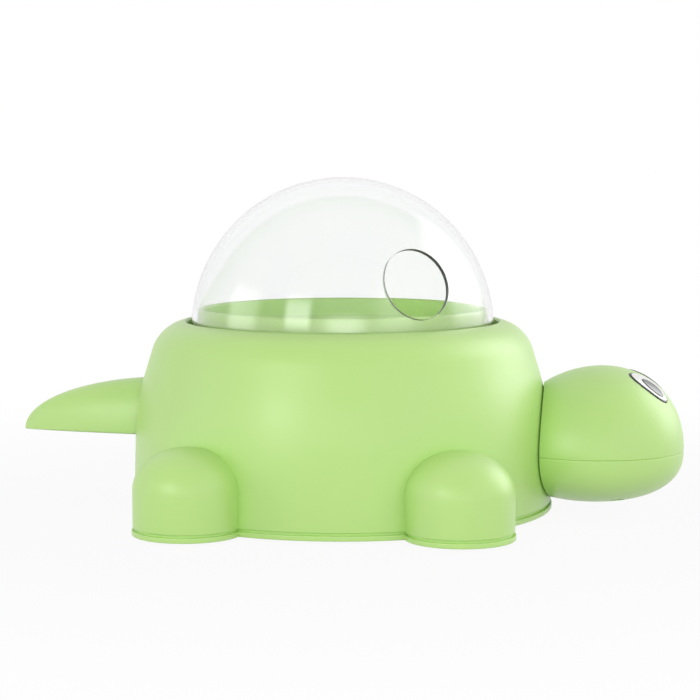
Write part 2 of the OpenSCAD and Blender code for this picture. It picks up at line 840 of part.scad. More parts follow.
module oval(a, b, h) {
    steps = 48;
    translate([0, 0, -h / 2]) linear_extrude(h)
        polygon([for (i = [0 : steps - 1]) [b * cos(360 * i / steps), a * sin(360 * i / steps)]]);
}

eye_proud = 0.5;
eye_sink = 1;
eye_gap = 0.1;
eye_cut = 16;
pupil_proud = 0.2;
pupil_share = 0.56;
pupil_drop = 0.14;
pupil_out = 0.1;

module eye_recess(s) {
    difference() {
        eye_frame(s) oval(eye_a + eye_gap, eye_b + eye_gap, eye_cut);
        loft(upper_rings(eye_sink + eye_gap));
    }
}

// A lip on the lower half that stands inside the upper half and lines the two up
module head_lip() {
    root = 3;
    over = 2.6;
    lip_t = 1.4;
    step_z = seam_z - face_gap;
    lip_off = wall + part_gap;
    difference() {
        loft([
            seam_ring(wall - merge, seam_z - root), seam_ring(wall - merge, step_z),
            seam_ring(lip_off, step_z), seam_ring(lip_off, seam_z + over)]);
        loft([
            seam_ring(lip_off + lip_t, seam_z - root - cut),
            seam_ring(lip_off + lip_t, seam_z + over + cut)]);
        drum_clearance(neck_gap + lip_off);
    }
}

module head_upper() {
    color(green) about_axis() difference() {
        union() {
            difference() {
                loft(upper_rings(0));
                drum_clearance(neck_gap);
                difference() {
                    loft(concat([seam_ring(wall, seam_z - cut)], upper_rings(wall)));
                    drum_clearance(neck_gap + wall);
                }
            }
            at_places(high_places) rod_x(boss_r, drum_r + neck_gap, socket_x);
            intersection() {
                for (s = [-1, 1]) translate([joint_x, s * joint_y, seam_z])
                    cylinder(r = boss_r, h = head_up);
                loft(upper_rings(wall / 2));
            }
        }
        at_places(high_places) rod_x(pilot_r, neck_seat_x, neck_end_x + pilot_spare);
        for (s = [-1, 1]) translate([joint_x, s * joint_y, seam_z - cut])
            cylinder(r = pilot_r, h = cut + screw_hold + pilot_spare);
        for (s = [-1, 1]) eye_recess(s);
    }
}

module head_lower() {
    column_r = boss_r + 1;
    color(green) about_axis() difference() {
        union() {
            difference() {
                loft(lower_rings(0));
                drum_clearance(neck_gap);
                difference() {
                    loft(concat(lower_rings(wall), [seam_ring(wall, seam_z + cut)]));
                    drum_clearance(neck_gap + wall);
                }
            }
            head_lip();
            at_places(low_places) rod_x(boss_r, drum_r + neck_gap + wall / 2, socket_x);
            intersection() {
                for (s = [-1, 1]) translate([joint_x, s * joint_y, seam_z - head_down])
                    cylinder(r = column_r, h = head_down);
                loft(lower_rings(wall / 2));
            }
        }
        at_places(low_places) rod_x(pilot_r, neck_seat_x, neck_end_x + pilot_spare);
        for (s = [-1, 1]) translate([joint_x, s * joint_y, 0]) {
            cylinder(r = pass_r, h = seam_z + cut);
            cylinder(r = screw_head_r + face_gap, h = seam_z - joint_sink);
        }
    }
}

module head_screws() {
    color(steel) about_axis() for (s = [-1, 1])
        translate([joint_x, s * joint_y, seam_z - joint_sink]) screw(joint_sink + screw_hold);
}

module neck_screws() {
    color(steel) about_axis() neck_places()
        translate([neck_seat_x, 0, 0]) rotate([0, 90, 0]) screw(neck_end_x - neck_seat_x);
}

module eye(s) {
    color(white) about_axis() difference() {
        intersection() {
            eye_frame(s) oval(eye_a, eye_b, eye_cut);
            loft(upper_rings(-eye_proud));
        }
        loft(upper_rings(eye_sink));
        pupil_place(s) oval(eye_a * pupil_share + eye_gap, eye_b * pupil_share + eye_gap, eye_cut);
    }
}

module pupil_place(s) {
    eye_frame(s) translate([pupil_drop * eye_b, s * pupil_out * eye_a, 0]) children();
}

module pupil(s) {
    color(black) about_axis() difference() {
        intersection() {
            pupil_place(s) oval(eye_a * pupil_share, eye_b * pupil_share, eye_cut);
            loft(upper_rings(-eye_proud - pupil_proud));
        }
        loft(upper_rings(eye_sink));
    }
}

module eye_left() { eye(1); }
module eye_right() { eye(-1); }
module pupil_left() { pupil(1); }
module pupil_right() { pupil(-1); }
module pad_front_left() { foot_pad(0); }
module pad_front_right() { foot_pad(1); }
module pad_rear_left() { foot_pad(2); }
module pad_rear_right() { foot_pad(3); }

body_shell();
base_plate();
base_screws();
pad_front_left();
pad_front_right();
pad_rear_left();
pad_rear_right();
treat_tray();
tray_screws();
launch_plate();
stem_foot();
stem_screw();
return_spring();
tail_lever();
pivot_pin();
pin_clips();
stop_pad();
dome();
dome_seal();
head_upper();
head_lower();
head_screws();
neck_screws();
eye_left();
eye_right();
pupil_left();
pupil_right();
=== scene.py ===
# %% [markdown]
# # A turtle that serves when its tail is pressed
#
# This lesson dresses a pet treat dispenser for its picture. Its solids come from a CAD model
# that stays as it is: it says where every piece sits and which body the piece moves with.
# Blender adds what CAD leaves plain, which is smooth skins, small rounded edges, a real spring,
# screws with driver recesses, printed eyes, finishes and light.
#
# Every size below is written in millimetres, as on a drawing, and `MM` turns it into the
# metres that Blender works in.

# %% Load the solids
from math import acos, asin, atan2, cos, pi, radians, sin, sqrt, tan

import bmesh
import bpy
from mathutils import Matrix, Vector
from mathutils.bvhtree import BVHTree


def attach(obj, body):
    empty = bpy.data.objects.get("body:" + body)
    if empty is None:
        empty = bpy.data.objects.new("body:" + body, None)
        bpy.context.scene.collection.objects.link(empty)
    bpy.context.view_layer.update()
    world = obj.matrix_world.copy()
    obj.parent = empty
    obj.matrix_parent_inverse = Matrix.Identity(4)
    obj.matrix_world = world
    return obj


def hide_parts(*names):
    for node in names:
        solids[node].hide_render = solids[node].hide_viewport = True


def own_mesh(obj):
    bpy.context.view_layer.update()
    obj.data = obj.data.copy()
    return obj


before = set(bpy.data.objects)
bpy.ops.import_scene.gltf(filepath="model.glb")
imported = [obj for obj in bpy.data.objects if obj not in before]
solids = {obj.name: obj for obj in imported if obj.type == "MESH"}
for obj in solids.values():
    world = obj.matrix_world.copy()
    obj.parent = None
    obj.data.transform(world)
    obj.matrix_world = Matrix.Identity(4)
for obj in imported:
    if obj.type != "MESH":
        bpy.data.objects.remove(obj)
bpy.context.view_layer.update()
scene = bpy.context.scene
MM = 0.001

# %% [markdown]
# ## One helper for every node tree
#
# Materials and Geometry Nodes are both trees of nodes, so one function can build either.
# It adds a node, sets its options, and fills each named input with a plain value or with
# another node's output. Most nodes have one output in use, so naming the node is enough.
# Colours are written as on a screen and turned into the linear values that the renderer adds up.

# %% Node helper and colours


def add(tree, kind, inputs=None, **options):
    """Add one node with options. An input takes a value, an output, or a node's first output."""
    node = tree.nodes.new(kind)
    for option, value in options.items():
        setattr(node, option, value)
    for socket, value in (inputs or {}).items():
        if isinstance(value, bpy.types.Node):
            value = next(output for output in value.outputs if output.enabled)
        if isinstance(value, bpy.types.NodeSocket):
            tree.links.new(value, node.inputs[socket])
        else:
            node.inputs[socket].default_value = value
    return node


def linear(code):
    """A screen colour such as #C0E58B as linear red, green, blue and alpha."""
    screen = [int(code[i : i + 2], 16) / 255 for i in (1, 3, 5)]
    return [c / 12.92 if c <= 0.04045 else ((c + 0.055) / 1.055) ** 2.4 for c in screen] + [1]


def blank_material(name):
    """A material with an empty node tree."""
    material = bpy.data.materials.new(name)
    material.use_nodes = True
    material.node_tree.nodes.clear()
    return material


print("half grey on a screen is", round(linear("#808080")[0], 3), "of full light")

# %% [markdown]
# ## Moulded ABS
#
# The green pieces are injection-moulded ABS. Such a surface is satin because the steel mould
# was etched, and it is never quite even: the melt flows in and leaves slow shifts of tone,
# and hands polish the edges. A flat colour would look like paper, so a slow noise shifts the
# tone, a fine noise makes the grain, and the pointiness of the mesh lightens rubbed edges. The
# skin that the melt forms on the mould's wall gives a broad pale sheen, which is a coat here.

# %% Green ABS

FLOW_MM = 45  # slow shifts of tone that the melt leaves
TOUCH_MM = 12  # patches with a little more or less shine
GRAIN_MM = 0.8  # etched grain is finer than a pixel, so it is drawn this coarse to show at all
GRAIN_DEPTH = 0.05


def moulded_abs():
    """ABS, light green, etched satin."""
    material = blank_material("abs_light_green")
    tree = material.node_tree
    place = add(tree, "ShaderNodeTexCoord").outputs["Object"]
    flow = add(
        tree, "ShaderNodeTexNoise", {"Vector": place, "Scale": 1 / (FLOW_MM * MM), "Detail": 2}
    )
    tones = {0: flow, 6: linear("#B3DD76"), 7: linear("#B8E07E")}
    tone = add(tree, "ShaderNodeMix", tones, data_type="RGBA")
    bend = add(tree, "ShaderNodeNewGeometry").outputs["Pointiness"]
    rub = add(
        tree,
        "ShaderNodeMapRange",
        {"Value": bend, "From Min": 0.52, "From Max": 0.65, "To Max": 0.35},
    )
    rubbed = {0: rub, 6: tone, 7: linear("#CDEB9F")}
    colour = add(tree, "ShaderNodeMix", rubbed, data_type="RGBA")
    grain = add(
        tree, "ShaderNodeTexNoise", {"Vector": place, "Scale": 1 / (GRAIN_MM * MM), "Detail": 3}
    )
    bump = add(
        tree, "ShaderNodeBump", {"Height": grain, "Strength": 0.12, "Distance": GRAIN_DEPTH * MM}
    )
    touch = add(
        tree, "ShaderNodeTexNoise", {"Vector": place, "Scale": 1 / (TOUCH_MM * MM), "Detail": 4}
    )
    rough = add(tree, "ShaderNodeMapRange", {"Value": touch, "To Min": 0.37, "To Max": 0.47})
    shader = add(
        tree,
        "ShaderNodeBsdfPrincipled",
        {
            "Base Color": colour,
            "Roughness": rough,
            "Normal": bump,
            "IOR": 1.54,
            "Specular IOR Level": 1,
            "Coat Weight": 0.5,
            "Coat Roughness": 0.42,
        },
    )
    add(tree, "ShaderNodeOutputMaterial", {"Surface": shader})
    return material


abs_green = moulded_abs()
print("material", abs_green.name)

# %% [markdown]
# ## Metal, soft parts and pupils
#
# The smaller pieces share one recipe: two tones, a grain of one size, and an uneven shine.
# Screws, pin and spring are zinc-plated steel. The pads are matt rubber, the seal is soft
# silicone, and the stem's foot is natural acetal, which slides well on plastic. The pupils are
# polished black ABS.

# %% Other finishes

PATCH_MM = 9  # patches in which tone and shine drift


def plain_finish(name, low, high, grain_mm, rough, bump_mm, **sockets):
    """A finish with two tones and a grain of one size, and constants set by socket name."""
    material = blank_material(name)
    tree = material.node_tree
    place = add(tree, "ShaderNodeTexCoord").outputs["Object"]
    slow = add(
        tree, "ShaderNodeTexNoise", {"Vector": place, "Scale": 1 / (PATCH_MM * MM), "Detail": 3}
    )
    fine = add(
        tree, "ShaderNodeTexNoise", {"Vector": place, "Scale": 1 / (grain_mm * MM), "Detail": 3}
    )
    tones = {0: slow, 6: linear(low), 7: linear(high)}
    tone = add(tree, "ShaderNodeMix", tones, data_type="RGBA")
    shine = add(
        tree, "ShaderNodeMapRange", {"Value": slow, "To Min": rough[0], "To Max": rough[1]}
    )
    relief = add(
        tree, "ShaderNodeBump", {"Height": fine, "Strength": 0.3, "Distance": bump_mm * MM}
    )
    constants = {socket.replace("_", " "): value for socket, value in sockets.items()}
    shader = add(
        tree,
        "ShaderNodeBsdfPrincipled",
        {"Base Color": tone, "Roughness": shine, "Normal": relief, **constants},
    )
    add(tree, "ShaderNodeOutputMaterial", {"Surface": shader})
    return material


# Zinc plating is a pale metal, and its fine grain blurs what it mirrors
zinc_steel = plain_finish(
    "steel_zinc_plated", "#B9BCC2", "#CDCFD2", 0.5, (0.26, 0.42), 0.02, Metallic=1
)
# Filled rubber is dark and soft to look at, with hardly any shine
rubber = plain_finish("rubber_dark_grey", "#55585A", "#626567", 0.6, (0.7, 0.85), 0.06)
# Silicone looks milky, because light goes in and comes out again close by
silicone = plain_finish(
    "silicone_white",
    "#E9EBE4",
    "#F2F3EE",
    1.2,
    (0.4, 0.5),
    0.02,
    Subsurface_Weight=0.3,
    Subsurface_Radius=(0.002, 0.002, 0.002),
)
# Natural acetal is a waxy white with a soft shine
acetal = plain_finish("acetal_natural", "#E8EAE4", "#F3F4F0", 0.7, (0.32, 0.42), 0.02)
# Polished black ABS mirrors the room clearly over a deep tone
eye_black = plain_finish(
    "abs_gloss_black", "#0B0B0D", "#131316", 2.0, (0.08, 0.14), 0.004, Coat_Weight=1
)
print("five more finishes")

# %% [markdown]
# ## Printed eyes
#
# An eye is a glossy white cap with a black line printed round its edge. The line follows the
# oval, so the material reads the distance from the middle out of the cap's own UV map, in
# which every oval of the cap is a circle. A little noise keeps the printed edge from being
# perfectly sharp.

# %% Eye white

RIM_START, RIM_FULL = 0.457, 0.467  # where the printed line begins, as a distance in the UV map


def printed_eye():
    """Gloss ABS, white, with a pad-printed black rim."""
    material = blank_material("abs_gloss_white_printed")
    tree = material.node_tree
    spot = add(tree, "ShaderNodeUVMap", uv_map="oval")
    middle = {0: spot, 1: (0.5, 0.5, 0)}
    centred = add(tree, "ShaderNodeVectorMath", middle, operation="SUBTRACT")
    radius = add(tree, "ShaderNodeVectorMath", {0: centred}, operation="LENGTH")
    blur = add(tree, "ShaderNodeTexNoise", {"Vector": spot, "Scale": 60})
    shake = {0: blur, 1: 0.012, 2: radius}
    shaky = add(tree, "ShaderNodeMath", shake, operation="MULTIPLY_ADD")
    line = add(
        tree,
        "ShaderNodeMapRange",
        {"Value": shaky, "From Min": RIM_START, "From Max": RIM_FULL},
    )
    inks = {0: line, 6: linear("#F4F4F1"), 7: linear("#0D0D0F")}
    ink = add(tree, "ShaderNodeMix", inks, data_type="RGBA")
    gloss = add(tree, "ShaderNodeMapRange", {"Value": blur, "To Min": 0.1, "To Max": 0.2})
    shader = add(
        tree,
        "ShaderNodeBsdfPrincipled",
        {"Base Color": ink, "Roughness": gloss, "IOR": 1.5, "Specular IOR Level": 1},
    )
    add(tree, "ShaderNodeOutputMaterial", {"Surface": shader})
    return material


eye_white = printed_eye()
print("material", eye_white.name)

# %% [markdown]
# ## Turning a profile
#
# Most of this product is round about an axis, so its pieces start as a half outline that is
# turned once round. Blender's Screw modifier could do it, but a Geometry Nodes tree shows
# the rule: a grid has one column for each step round and one row for each outline point,
# every grid point looks up its outline point by number, and a rotation sends it to its place.
# Merging by distance closes the seam and the poles.

# %% The turning tree

MERGE_GAP = 0.0005


def geometry_tree(name, result, **inputs):
    """An empty Geometry Nodes tree with named inputs of a kind, and one geometry as its result."""
    tree = bpy.data.node_groups.new(name, "GeometryNodeTree")
    for title, kind in inputs.items():
        tree.interface.new_socket(title, in_out="INPUT", socket_type="NodeSocket" + kind)
    tree.interface.new_socket(result, in_out="OUTPUT", socket_type="NodeSocketGeometry")
    return tree, add(tree, "NodeGroupInput").outputs


def turning_tree():
    """Geometry Nodes: turn the outline in a mesh's vertices about the Z axis."""
    tree, given = geometry_tree(
        "turned_profile", "Turned", Outline="Geometry", Steps="Int", Material="Material"
    )
    count = add(tree, "GeometryNodeAttributeDomainSize", {"Geometry": given["Outline"]})
    rows = count.outputs["Point Count"]
    around = add(tree, "ShaderNodeMath", {0: given["Steps"], 1: 1}, operation="ADD")
    grid = add(tree, "GeometryNodeMeshGrid", {"Vertices X": around, "Vertices Y": rows})
    number = add(tree, "GeometryNodeInputIndex")
    row = add(tree, "ShaderNodeMath", {0: number, 1: rows}, operation="MODULO")
    share = add(tree, "ShaderNodeMath", {0: number, 1: rows}, operation="DIVIDE")
    column = add(tree, "ShaderNodeMath", {0: share}, operation="FLOOR")
    part = add(tree, "ShaderNodeMath", {0: column, 1: given["Steps"]}, operation="DIVIDE")
    angle = add(tree, "ShaderNodeMath", {0: part, 1: 2 * pi}, operation="MULTIPLY")
    place = add(tree, "GeometryNodeInputPosition")
    lookup = {"Geometry": given["Outline"], "Value": place, "Index": row}
    found = add(tree, "GeometryNodeSampleIndex", lookup, data_type="FLOAT_VECTOR")
    turn = {"Vector": found, "Angle": angle}
    sent = add(tree, "ShaderNodeVectorRotate", turn, rotation_type="Z_AXIS")
    skin = add(tree, "GeometryNodeSetPosition", {"Geometry": grid, "Position": sent})
    closed = add(
        tree, "GeometryNodeMergeByDistance", {"Geometry": skin, "Distance": MERGE_GAP * MM}
    )
    real = add(tree, "GeometryNodeRealizeInstances", {"Geometry": closed})
    coated = add(
        tree, "GeometryNodeSetMaterial", {"Geometry": real, "Material": given["Material"]}
    )
    add(tree, "NodeGroupOutput", {"Turned": coated})
    return tree


turned_profile = turning_tree()
print("tree", turned_profile.name, "with", len(turned_profile.nodes), "nodes")

# %% [markdown]
# ## Small tools for shaping
#
# A tree with live inputs is handy while shaping, but a finished piece is a plain mesh. So one
# function makes an object plain, turns its faces outwards and marks as sharp only the edges
# that bend by more than a fillet step. The rest draw outlines, lay skins over rings of points,
# and cut one piece with another.

# %% From points to plain meshes

SHARP_FROM = 32  # degrees


def plain(piece):
    """Turn a piece with modifiers into a closed plain mesh with smooth, outward faces."""
    graph = bpy.context.evaluated_depsgraph_get()
    mesh = bpy.data.meshes.new_from_object(piece.evaluated_get(graph))
    piece.modifiers.clear()
    piece.data = mesh
    work = bmesh.new()
    work.from_mesh(mesh)
    bmesh.ops.recalc_face_normals(work, faces=work.faces)
    work.to_mesh(mesh)
    work.free()
    mesh.shade_smooth()
    mesh.set_sharp_from_angle(angle=radians(SHARP_FROM))
    return piece


def new_piece(name, points, edges=(), faces=()):
    """An object from points in millimetres."""
    mesh = bpy.data.meshes.new(name)
    mesh.from_pydata([Vector(p) * MM for p in points], edges, faces)
    piece = bpy.data.objects.new(name, mesh)
    scene.collection.objects.link(piece)
    return piece


def grow(piece, tree, **wanted):
    """Run a Geometry Nodes tree on a piece with these inputs, and keep the plain result."""
    growing = piece.modifiers.new(tree.name, "NODES")
    growing.node_group = tree
    for socket in tree.interface.items_tree:
        if socket.in_out == "INPUT" and socket.name in wanted:
            growing[socket.identifier] = wanted[socket.name]
    return plain(piece)


print("tools: plain, new_piece, grow")

# %% Outlines


def arc(centre, r, start, end, steps):
    """Points on an arc from one angle to another, in degrees."""
    turns = [radians(start + (end - start) * i / steps) for i in range(steps + 1)]
    return [(centre[0] + r * cos(t), centre[1] + r * sin(t)) for t in turns]


def fillet(corners, steps=5):
    """An outline from (x, y) or (x, y, radius) corners, with an arc at each given radius."""
    points = []
    for i, corner in enumerate(corners):
        here = Vector(corner[:2])
        radius = corner[2] if len(corner) > 2 else 0
        if not radius:
            points.append(tuple(here))
            continue
        back = (Vector(corners[i - 1][:2]) - here).normalized()
        ahead = (Vector(corners[(i + 1) % len(corners)][:2]) - here).normalized()
        half = back.angle(ahead) / 2
        centre = here + (back + ahead).normalized() * radius / sin(half)
        first = here + back * radius / tan(half) - centre
        last = here + ahead * radius / tan(half) - centre
        points += [tuple(centre + first.slerp(last, k / steps) * radius) for k in range(steps + 1)]
    return points


def half_outline(name, points):
    """An object from (radius, height) points, in the plane that a turn starts from."""
    edges = [(i, i + 1) for i in range(len(points) - 1)]
    return new_piece(name, [(r, 0, z) for r, z in points], edges)


print("tools: arc, fillet, half_outline")

# %% Solids from outlines


def turned(name, outline, steps, at=(0, 0), closed=False):
    """A body of revolution from (radius, height) points, with its axis at a place in the plan."""
    piece = half_outline(name, outline + outline[:1] if closed else outline)
    grow(piece, turned_profile, Steps=steps, Material=abs_green)
    piece.data.transform(Matrix.Translation(Vector((at[0], at[1], 0)) * MM))
    return piece


def quads(rings):
    """The faces between rings of points, as the points' numbers."""
    n = len(rings[0])
    return [
        (i * n + j, i * n + (j + 1) % n, (i + 1) * n + (j + 1) % n, (i + 1) * n + j)
        for i in range(len(rings) - 1)
        for j in range(n)
    ]


def skin_over(name, rings):
    """A closed skin over rings that all have the same number of points."""
    n, last = len(rings[0]), len(rings) - 1
    caps = [tuple(range(n)), tuple(range(last * n, (last + 1) * n))]
    return plain(new_piece(name, [p for ring in rings for p in ring], faces=quads(rings) + caps))


def prism(name, outline, axis, low, high):
    """A flat outline drawn out along x, y or z from low to high."""
    place = {
        "x": lambda u, v, w: (w, u, v),
        "y": lambda u, v, w: (u, w, v),
        "z": lambda u, v, w: (u, v, w),
    }[axis]
    return skin_over(name, [[place(u, v, w) for u, v in outline] for w in (low, high)])


def bars(axis, places, r, low, high, steps=48):
    """Round bars along x, y or z from low to high, one at each place."""
    return [prism("bar", arc(at, r, 0, 360, steps)[:-1], axis, low, high) for at in places]


print("tools: turned, quads, skin_over, prism, bars")

# %% Joining, cutting and dressing


def joined(pieces):
    """One object from pieces that don't touch each other."""
    work = bmesh.new()
    for piece in pieces:
        work.from_mesh(piece.data)
        bpy.data.objects.remove(piece)
    group = new_piece("group", [])
    work.to_mesh(group.data)
    work.free()
    return group


def cut(piece, *tools, how="DIFFERENCE"):
    """Cut away, add or keep what the tools cover, and remove the tools."""
    for tool in tools:
        step = piece.modifiers.new("cut", "BOOLEAN")
        step.operation = how
        step.solver = "MANIFOLD"
        step.object = tool
        plain(piece)
        bpy.data.objects.remove(tool)
    return piece


def dress(piece, material, body, slot, *stands_for):
    """Give a finished piece its material and body, and hide the solids it stands for. The slot is
    not used.
    """
    piece.data.materials.clear()
    piece.data.materials.append(material)
    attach(piece, body)
    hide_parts(*stands_for)
    print(piece.name, len(piece.data.polygons), "faces, on", body)


print("tools: joined, cut, dress")

# %% [markdown]
# ## Drum and feet
#
# The drum is one moulding: a leaning side, a wide bend, a rounded shoulder and a lip round the
# dome, with four dome-topped feet growing out of it. Each is turned from its outline. The
# feet join the drum in a crisp crease, as moulded shells do, so a plain union is right and a
# blend would be too soft.

# %% Drum outline

AXIS = (-3, 0)  # the drum's axis in the plan
WALL = 2.4
DRUM_R = 93
SHELL_Z = 4.2
SIDE_H = 28.8
SIDE_LEAN = 1.6
BEND_R = 105
SLOPE_LEAN = 17
SLOPE_H = 10.2
SHOULDER_R = 17.8
LIP_ROUND = 1.2
LIP_IN = 69.2
SEAT_DEPTH = 5.7


def polar(r, angle):
    """A vector of that length at an angle in degrees."""
    return Vector((r * cos(radians(angle)), r * sin(radians(angle))))


side_top = Vector((DRUM_R, SHELL_Z)) + SIDE_H * Vector((-tan(radians(SIDE_LEAN)), 1))
bend_c = side_top - polar(BEND_R, SIDE_LEAN)
slope_top = bend_c + polar(BEND_R, SLOPE_LEAN) + SLOPE_H * Vector((-tan(radians(SLOPE_LEAN)), 1))
shoulder_c = slope_top - polar(SHOULDER_R, SLOPE_LEAN)


def shoulder_angle(off):
    """Where the shoulder, moved inwards, is as far outside the lip's bore as it was moved."""
    return acos((LIP_IN + off - shoulder_c.x) / (SHOULDER_R - off)) * 180 / pi


lip_angle = shoulder_angle(LIP_ROUND)
lip_c = shoulder_c + polar(SHOULDER_R - LIP_ROUND, lip_angle)
seat_z = lip_c.y - SEAT_DEPTH


def drum_side(off, top_angle, foot_round=0):
    """The drum's outline from its lower edge to an angle on the shoulder, moved inwards."""
    low_r = DRUM_R - off / cos(radians(SIDE_LEAN))
    edge = fillet([(0, SHELL_Z), (low_r, SHELL_Z, foot_round), tuple(side_top)])[1:-1]
    bend = arc(bend_c, BEND_R - off, SIDE_LEAN, SLOPE_LEAN, 24)
    return edge + bend + arc(shoulder_c, SHOULDER_R - off, SLOPE_LEAN, top_angle, 40)


print("seat of the dome at", round(seat_z, 2), "mm")

# %% Drum, feet and hollow

FOOT_R = 22.5
FOOT_PITCH = 98.8
FOOT_TURNS = (55.4, -55.4, 124.6, 235.4)
FOOT_SIDE_H = 15.3
FOOT_DOME_H = 17.5
SHELF_R = 59.5
EDGE_ROUND = 0.5
DRUM_STEPS = 288
PAST = 1  # how far a cutting tool stands past what it cuts


def round_axis(r, turns):
    """Places in the plan on a circle round the drum's axis, at angles in degrees."""
    return [polar(r, turn) + Vector(AXIS) for turn in turns]


foot_places = round_axis(FOOT_PITCH, FOOT_TURNS)


def foot_outline(off, low, edge):
    """Half outline of a foot, moved inwards."""
    r = FOOT_R - off
    top_z = SHELL_Z + FOOT_SIDE_H
    turns = [pi / 2 * i / 32 for i in range(33)]
    crown = [(r * cos(t), top_z + (FOOT_DOME_H - off) * sin(t)) for t in turns]
    crown[-1] = (0, crown[-1][1])
    return fillet([(0, low), (r, low, edge), crown[0]])[:-1] + crown


def shell():
    """The drum with its feet, hollow inside and open below."""
    rounded = arc(lip_c, LIP_ROUND, lip_angle, 180, 12)[1:]
    outside = [(0, SHELL_Z)] + drum_side(0, lip_angle, EDGE_ROUND) + rounded
    piece = turned("drum_shell", outside + [(LIP_IN, seat_z), (0, seat_z)], DRUM_STEPS, AXIS)
    feet = [turned("foot", foot_outline(0, SHELL_Z, EDGE_ROUND), 128, p) for p in foot_places]
    cut(piece, joined(feet), how="UNION")
    inside = drum_side(WALL, shoulder_angle(WALL))
    low, web, top = SHELL_Z - PAST, seat_z - WALL, seat_z + PAST
    hollow = [(0, low), (inside[0][0], low)] + inside
    hollow += [(LIP_IN + WALL, web), (SHELF_R, web), (SHELF_R, top), (0, top)]
    cut(piece, turned("hollow", hollow, 192, AXIS))
    hollows = [turned("hollow", foot_outline(WALL, low, 0), 64, p) for p in foot_places]
    return cut(piece, joined(hollows))


drum = shell()
print("hollow drum with feet,", len(drum.data.polygons), "faces")

# %% [markdown]
# ## Bosses for the screws
#
# A moulded shell holds its screws in bosses: round posts with a pilot hole, each tied to the
# wall by a thin rib. The base plate, the tray and the head are all screwed to this drum. The
# head's three bosses go through the wall and end in pads that the head stands on.

# %% Bosses

BOSS_R = 4.2
BOSS_H = 26
BOSS_BORE = 20
PILOT_R = 1.52
PASS_R = 1.7
RIB_HALF = 0.9
RIB_REACH = (83.7, 91.8)  # from the axis
RIB_RISE = (5, 22)  # from the shell's lower edge
TRAY_POST_R = 3.4
TRAY_POST_H = 10
TRAY_POST_LAP = 0.5
TRAY_BORE = 9
NECK_GAP = 0.8
NECK_PAD = (82, 91)
PAD_PLAY = 0.1
NECK_SCREWS = [(-13, 44.5), (13, 44.5), (0, 17)]  # across and up
TRIM_ANGLE = 60  # where on the shoulder a trimming copy of the drum ends
BASE_SCREW_R, TRAY_SCREW_R = 80, 66.7  # from the axis
BASE_TURNS = range(30, 390, 60)
TRAY_TURNS = (90, 210, 330)
base_places = round_axis(BASE_SCREW_R, BASE_TURNS)
tray_places = round_axis(TRAY_SCREW_R, TRAY_TURNS)


def drum_grown(gap):
    """The drum's side grown outwards, to trim what stands against it."""
    side = drum_side(-gap, TRIM_ANGLE)
    return turned("grown", [(0, 0), (side[0][0], 0)] + side + [(0, side[-1][1])], DRUM_STEPS, AXIS)


def rib(turn):
    """A thin rib from a base screw's boss to the wall."""
    across = polar(RIB_HALF, turn + 90)
    near, far = (polar(r, turn) + Vector(AXIS) for r in RIB_REACH)
    outline = [tuple(p) for p in (near - across, far - across, far + across, near + across)]
    return prism("rib", outline, "z", SHELL_Z + RIB_RISE[0], SHELL_Z + RIB_RISE[1])


def bosses(piece):
    """Add the drum's bosses, and bore them."""
    cut(piece, joined(bars("z", base_places, BOSS_R, SHELL_Z, SHELL_Z + BOSS_H)), how="UNION")
    cut(piece, joined([rib(turn) for turn in BASE_TURNS]), how="UNION")
    low, high = seat_z - TRAY_POST_H, seat_z - WALL + TRAY_POST_LAP
    cut(piece, joined(bars("z", tray_places, TRAY_POST_R, low, high)), how="UNION")
    pads = joined(bars("x", NECK_SCREWS, BOSS_R, *NECK_PAD))
    cut(pads, drum_grown(NECK_GAP - PAD_PLAY), how="INTERSECT")
    cut(piece, pads, how="UNION")
    bores = bars("z", base_places, PILOT_R, SHELL_Z - PAST, SHELL_Z + BOSS_BORE)
    bores += bars("z", tray_places, PILOT_R, seat_z - TRAY_BORE, seat_z + PAST)
    bores += bars("x", NECK_SCREWS, PASS_R, NECK_PAD[0] - PAST, NECK_PAD[1] + PAST)
    cut(piece, joined(bores))


bosses(drum)
print("with its bosses", len(drum.data.polygons), "faces")

# %% [markdown]
# ## The tail, a horn that is pressed
#
# The tail is a horn: half an ellipse from the side, pointed from above, with a flat underside.
# No turning makes that shape, so it is a skin over rings. Each ring is a rounded box whose
# width and height shrink towards the tip. The drum gets the slot that the tail swings in, and
# the horn gets the open pockets that keep a thick moulding from sinking.

# %% Horn rings

TAIL_REACH = 145
HORN_START = 73
ROOT_X = 81
TAIL_Z = 31.6
TAIL_RISE = 0.02
TAIL_H = 25.8
TAIL_W = 31
HORN_SAG = 0.08
HORN_TAPER = 1.2
BOXINESS = 2.4  # of the rings, where 2 is an ellipse


def bulge(v):
    """Sine or cosine pushed outwards, so that a circle becomes a rounded box."""
    return abs(v) ** (2 / BOXINESS) * (1 if v > 0 else -1)


def horn_size(x):
    """Half width, height, underside and widest level of the horn at a distance from the axis."""
    slim = sqrt(1 - ((x - HORN_START) / (TAIL_REACH - HORN_START)) ** 2)
    high = TAIL_H * slim
    low = TAIL_Z + (x - DRUM_R) * TAIL_RISE
    return TAIL_W / 2 * slim**HORN_TAPER, high, low, low + HORN_SAG * high


def horn_ring(x, sides=128):
    """One ring of the horn's skin."""
    wide, high, _, mid = horn_size(x)
    ring = []
    for j in range(sides):
        c, s = cos(2 * pi * j / sides), sin(2 * pi * j / sides)
        rise = (1 - HORN_SAG if c > 0 else HORN_SAG) * high * bulge(c)
        ring.append((AXIS[0] - x, wide * bulge(s), mid + rise))
    return ring


def hood(x, wide, mid, high, low, steps=40):
    """A ring with a rounded top and a straight underside."""
    turns = [pi * (i / steps - 0.5) for i in range(steps + 1)]
    top = [(AXIS[0] - x, wide * bulge(sin(t)), mid + high * bulge(cos(t))) for t in turns]
    return top + [(AXIS[0] - x, wide, low), (AXIS[0] - x, -wide, low)]


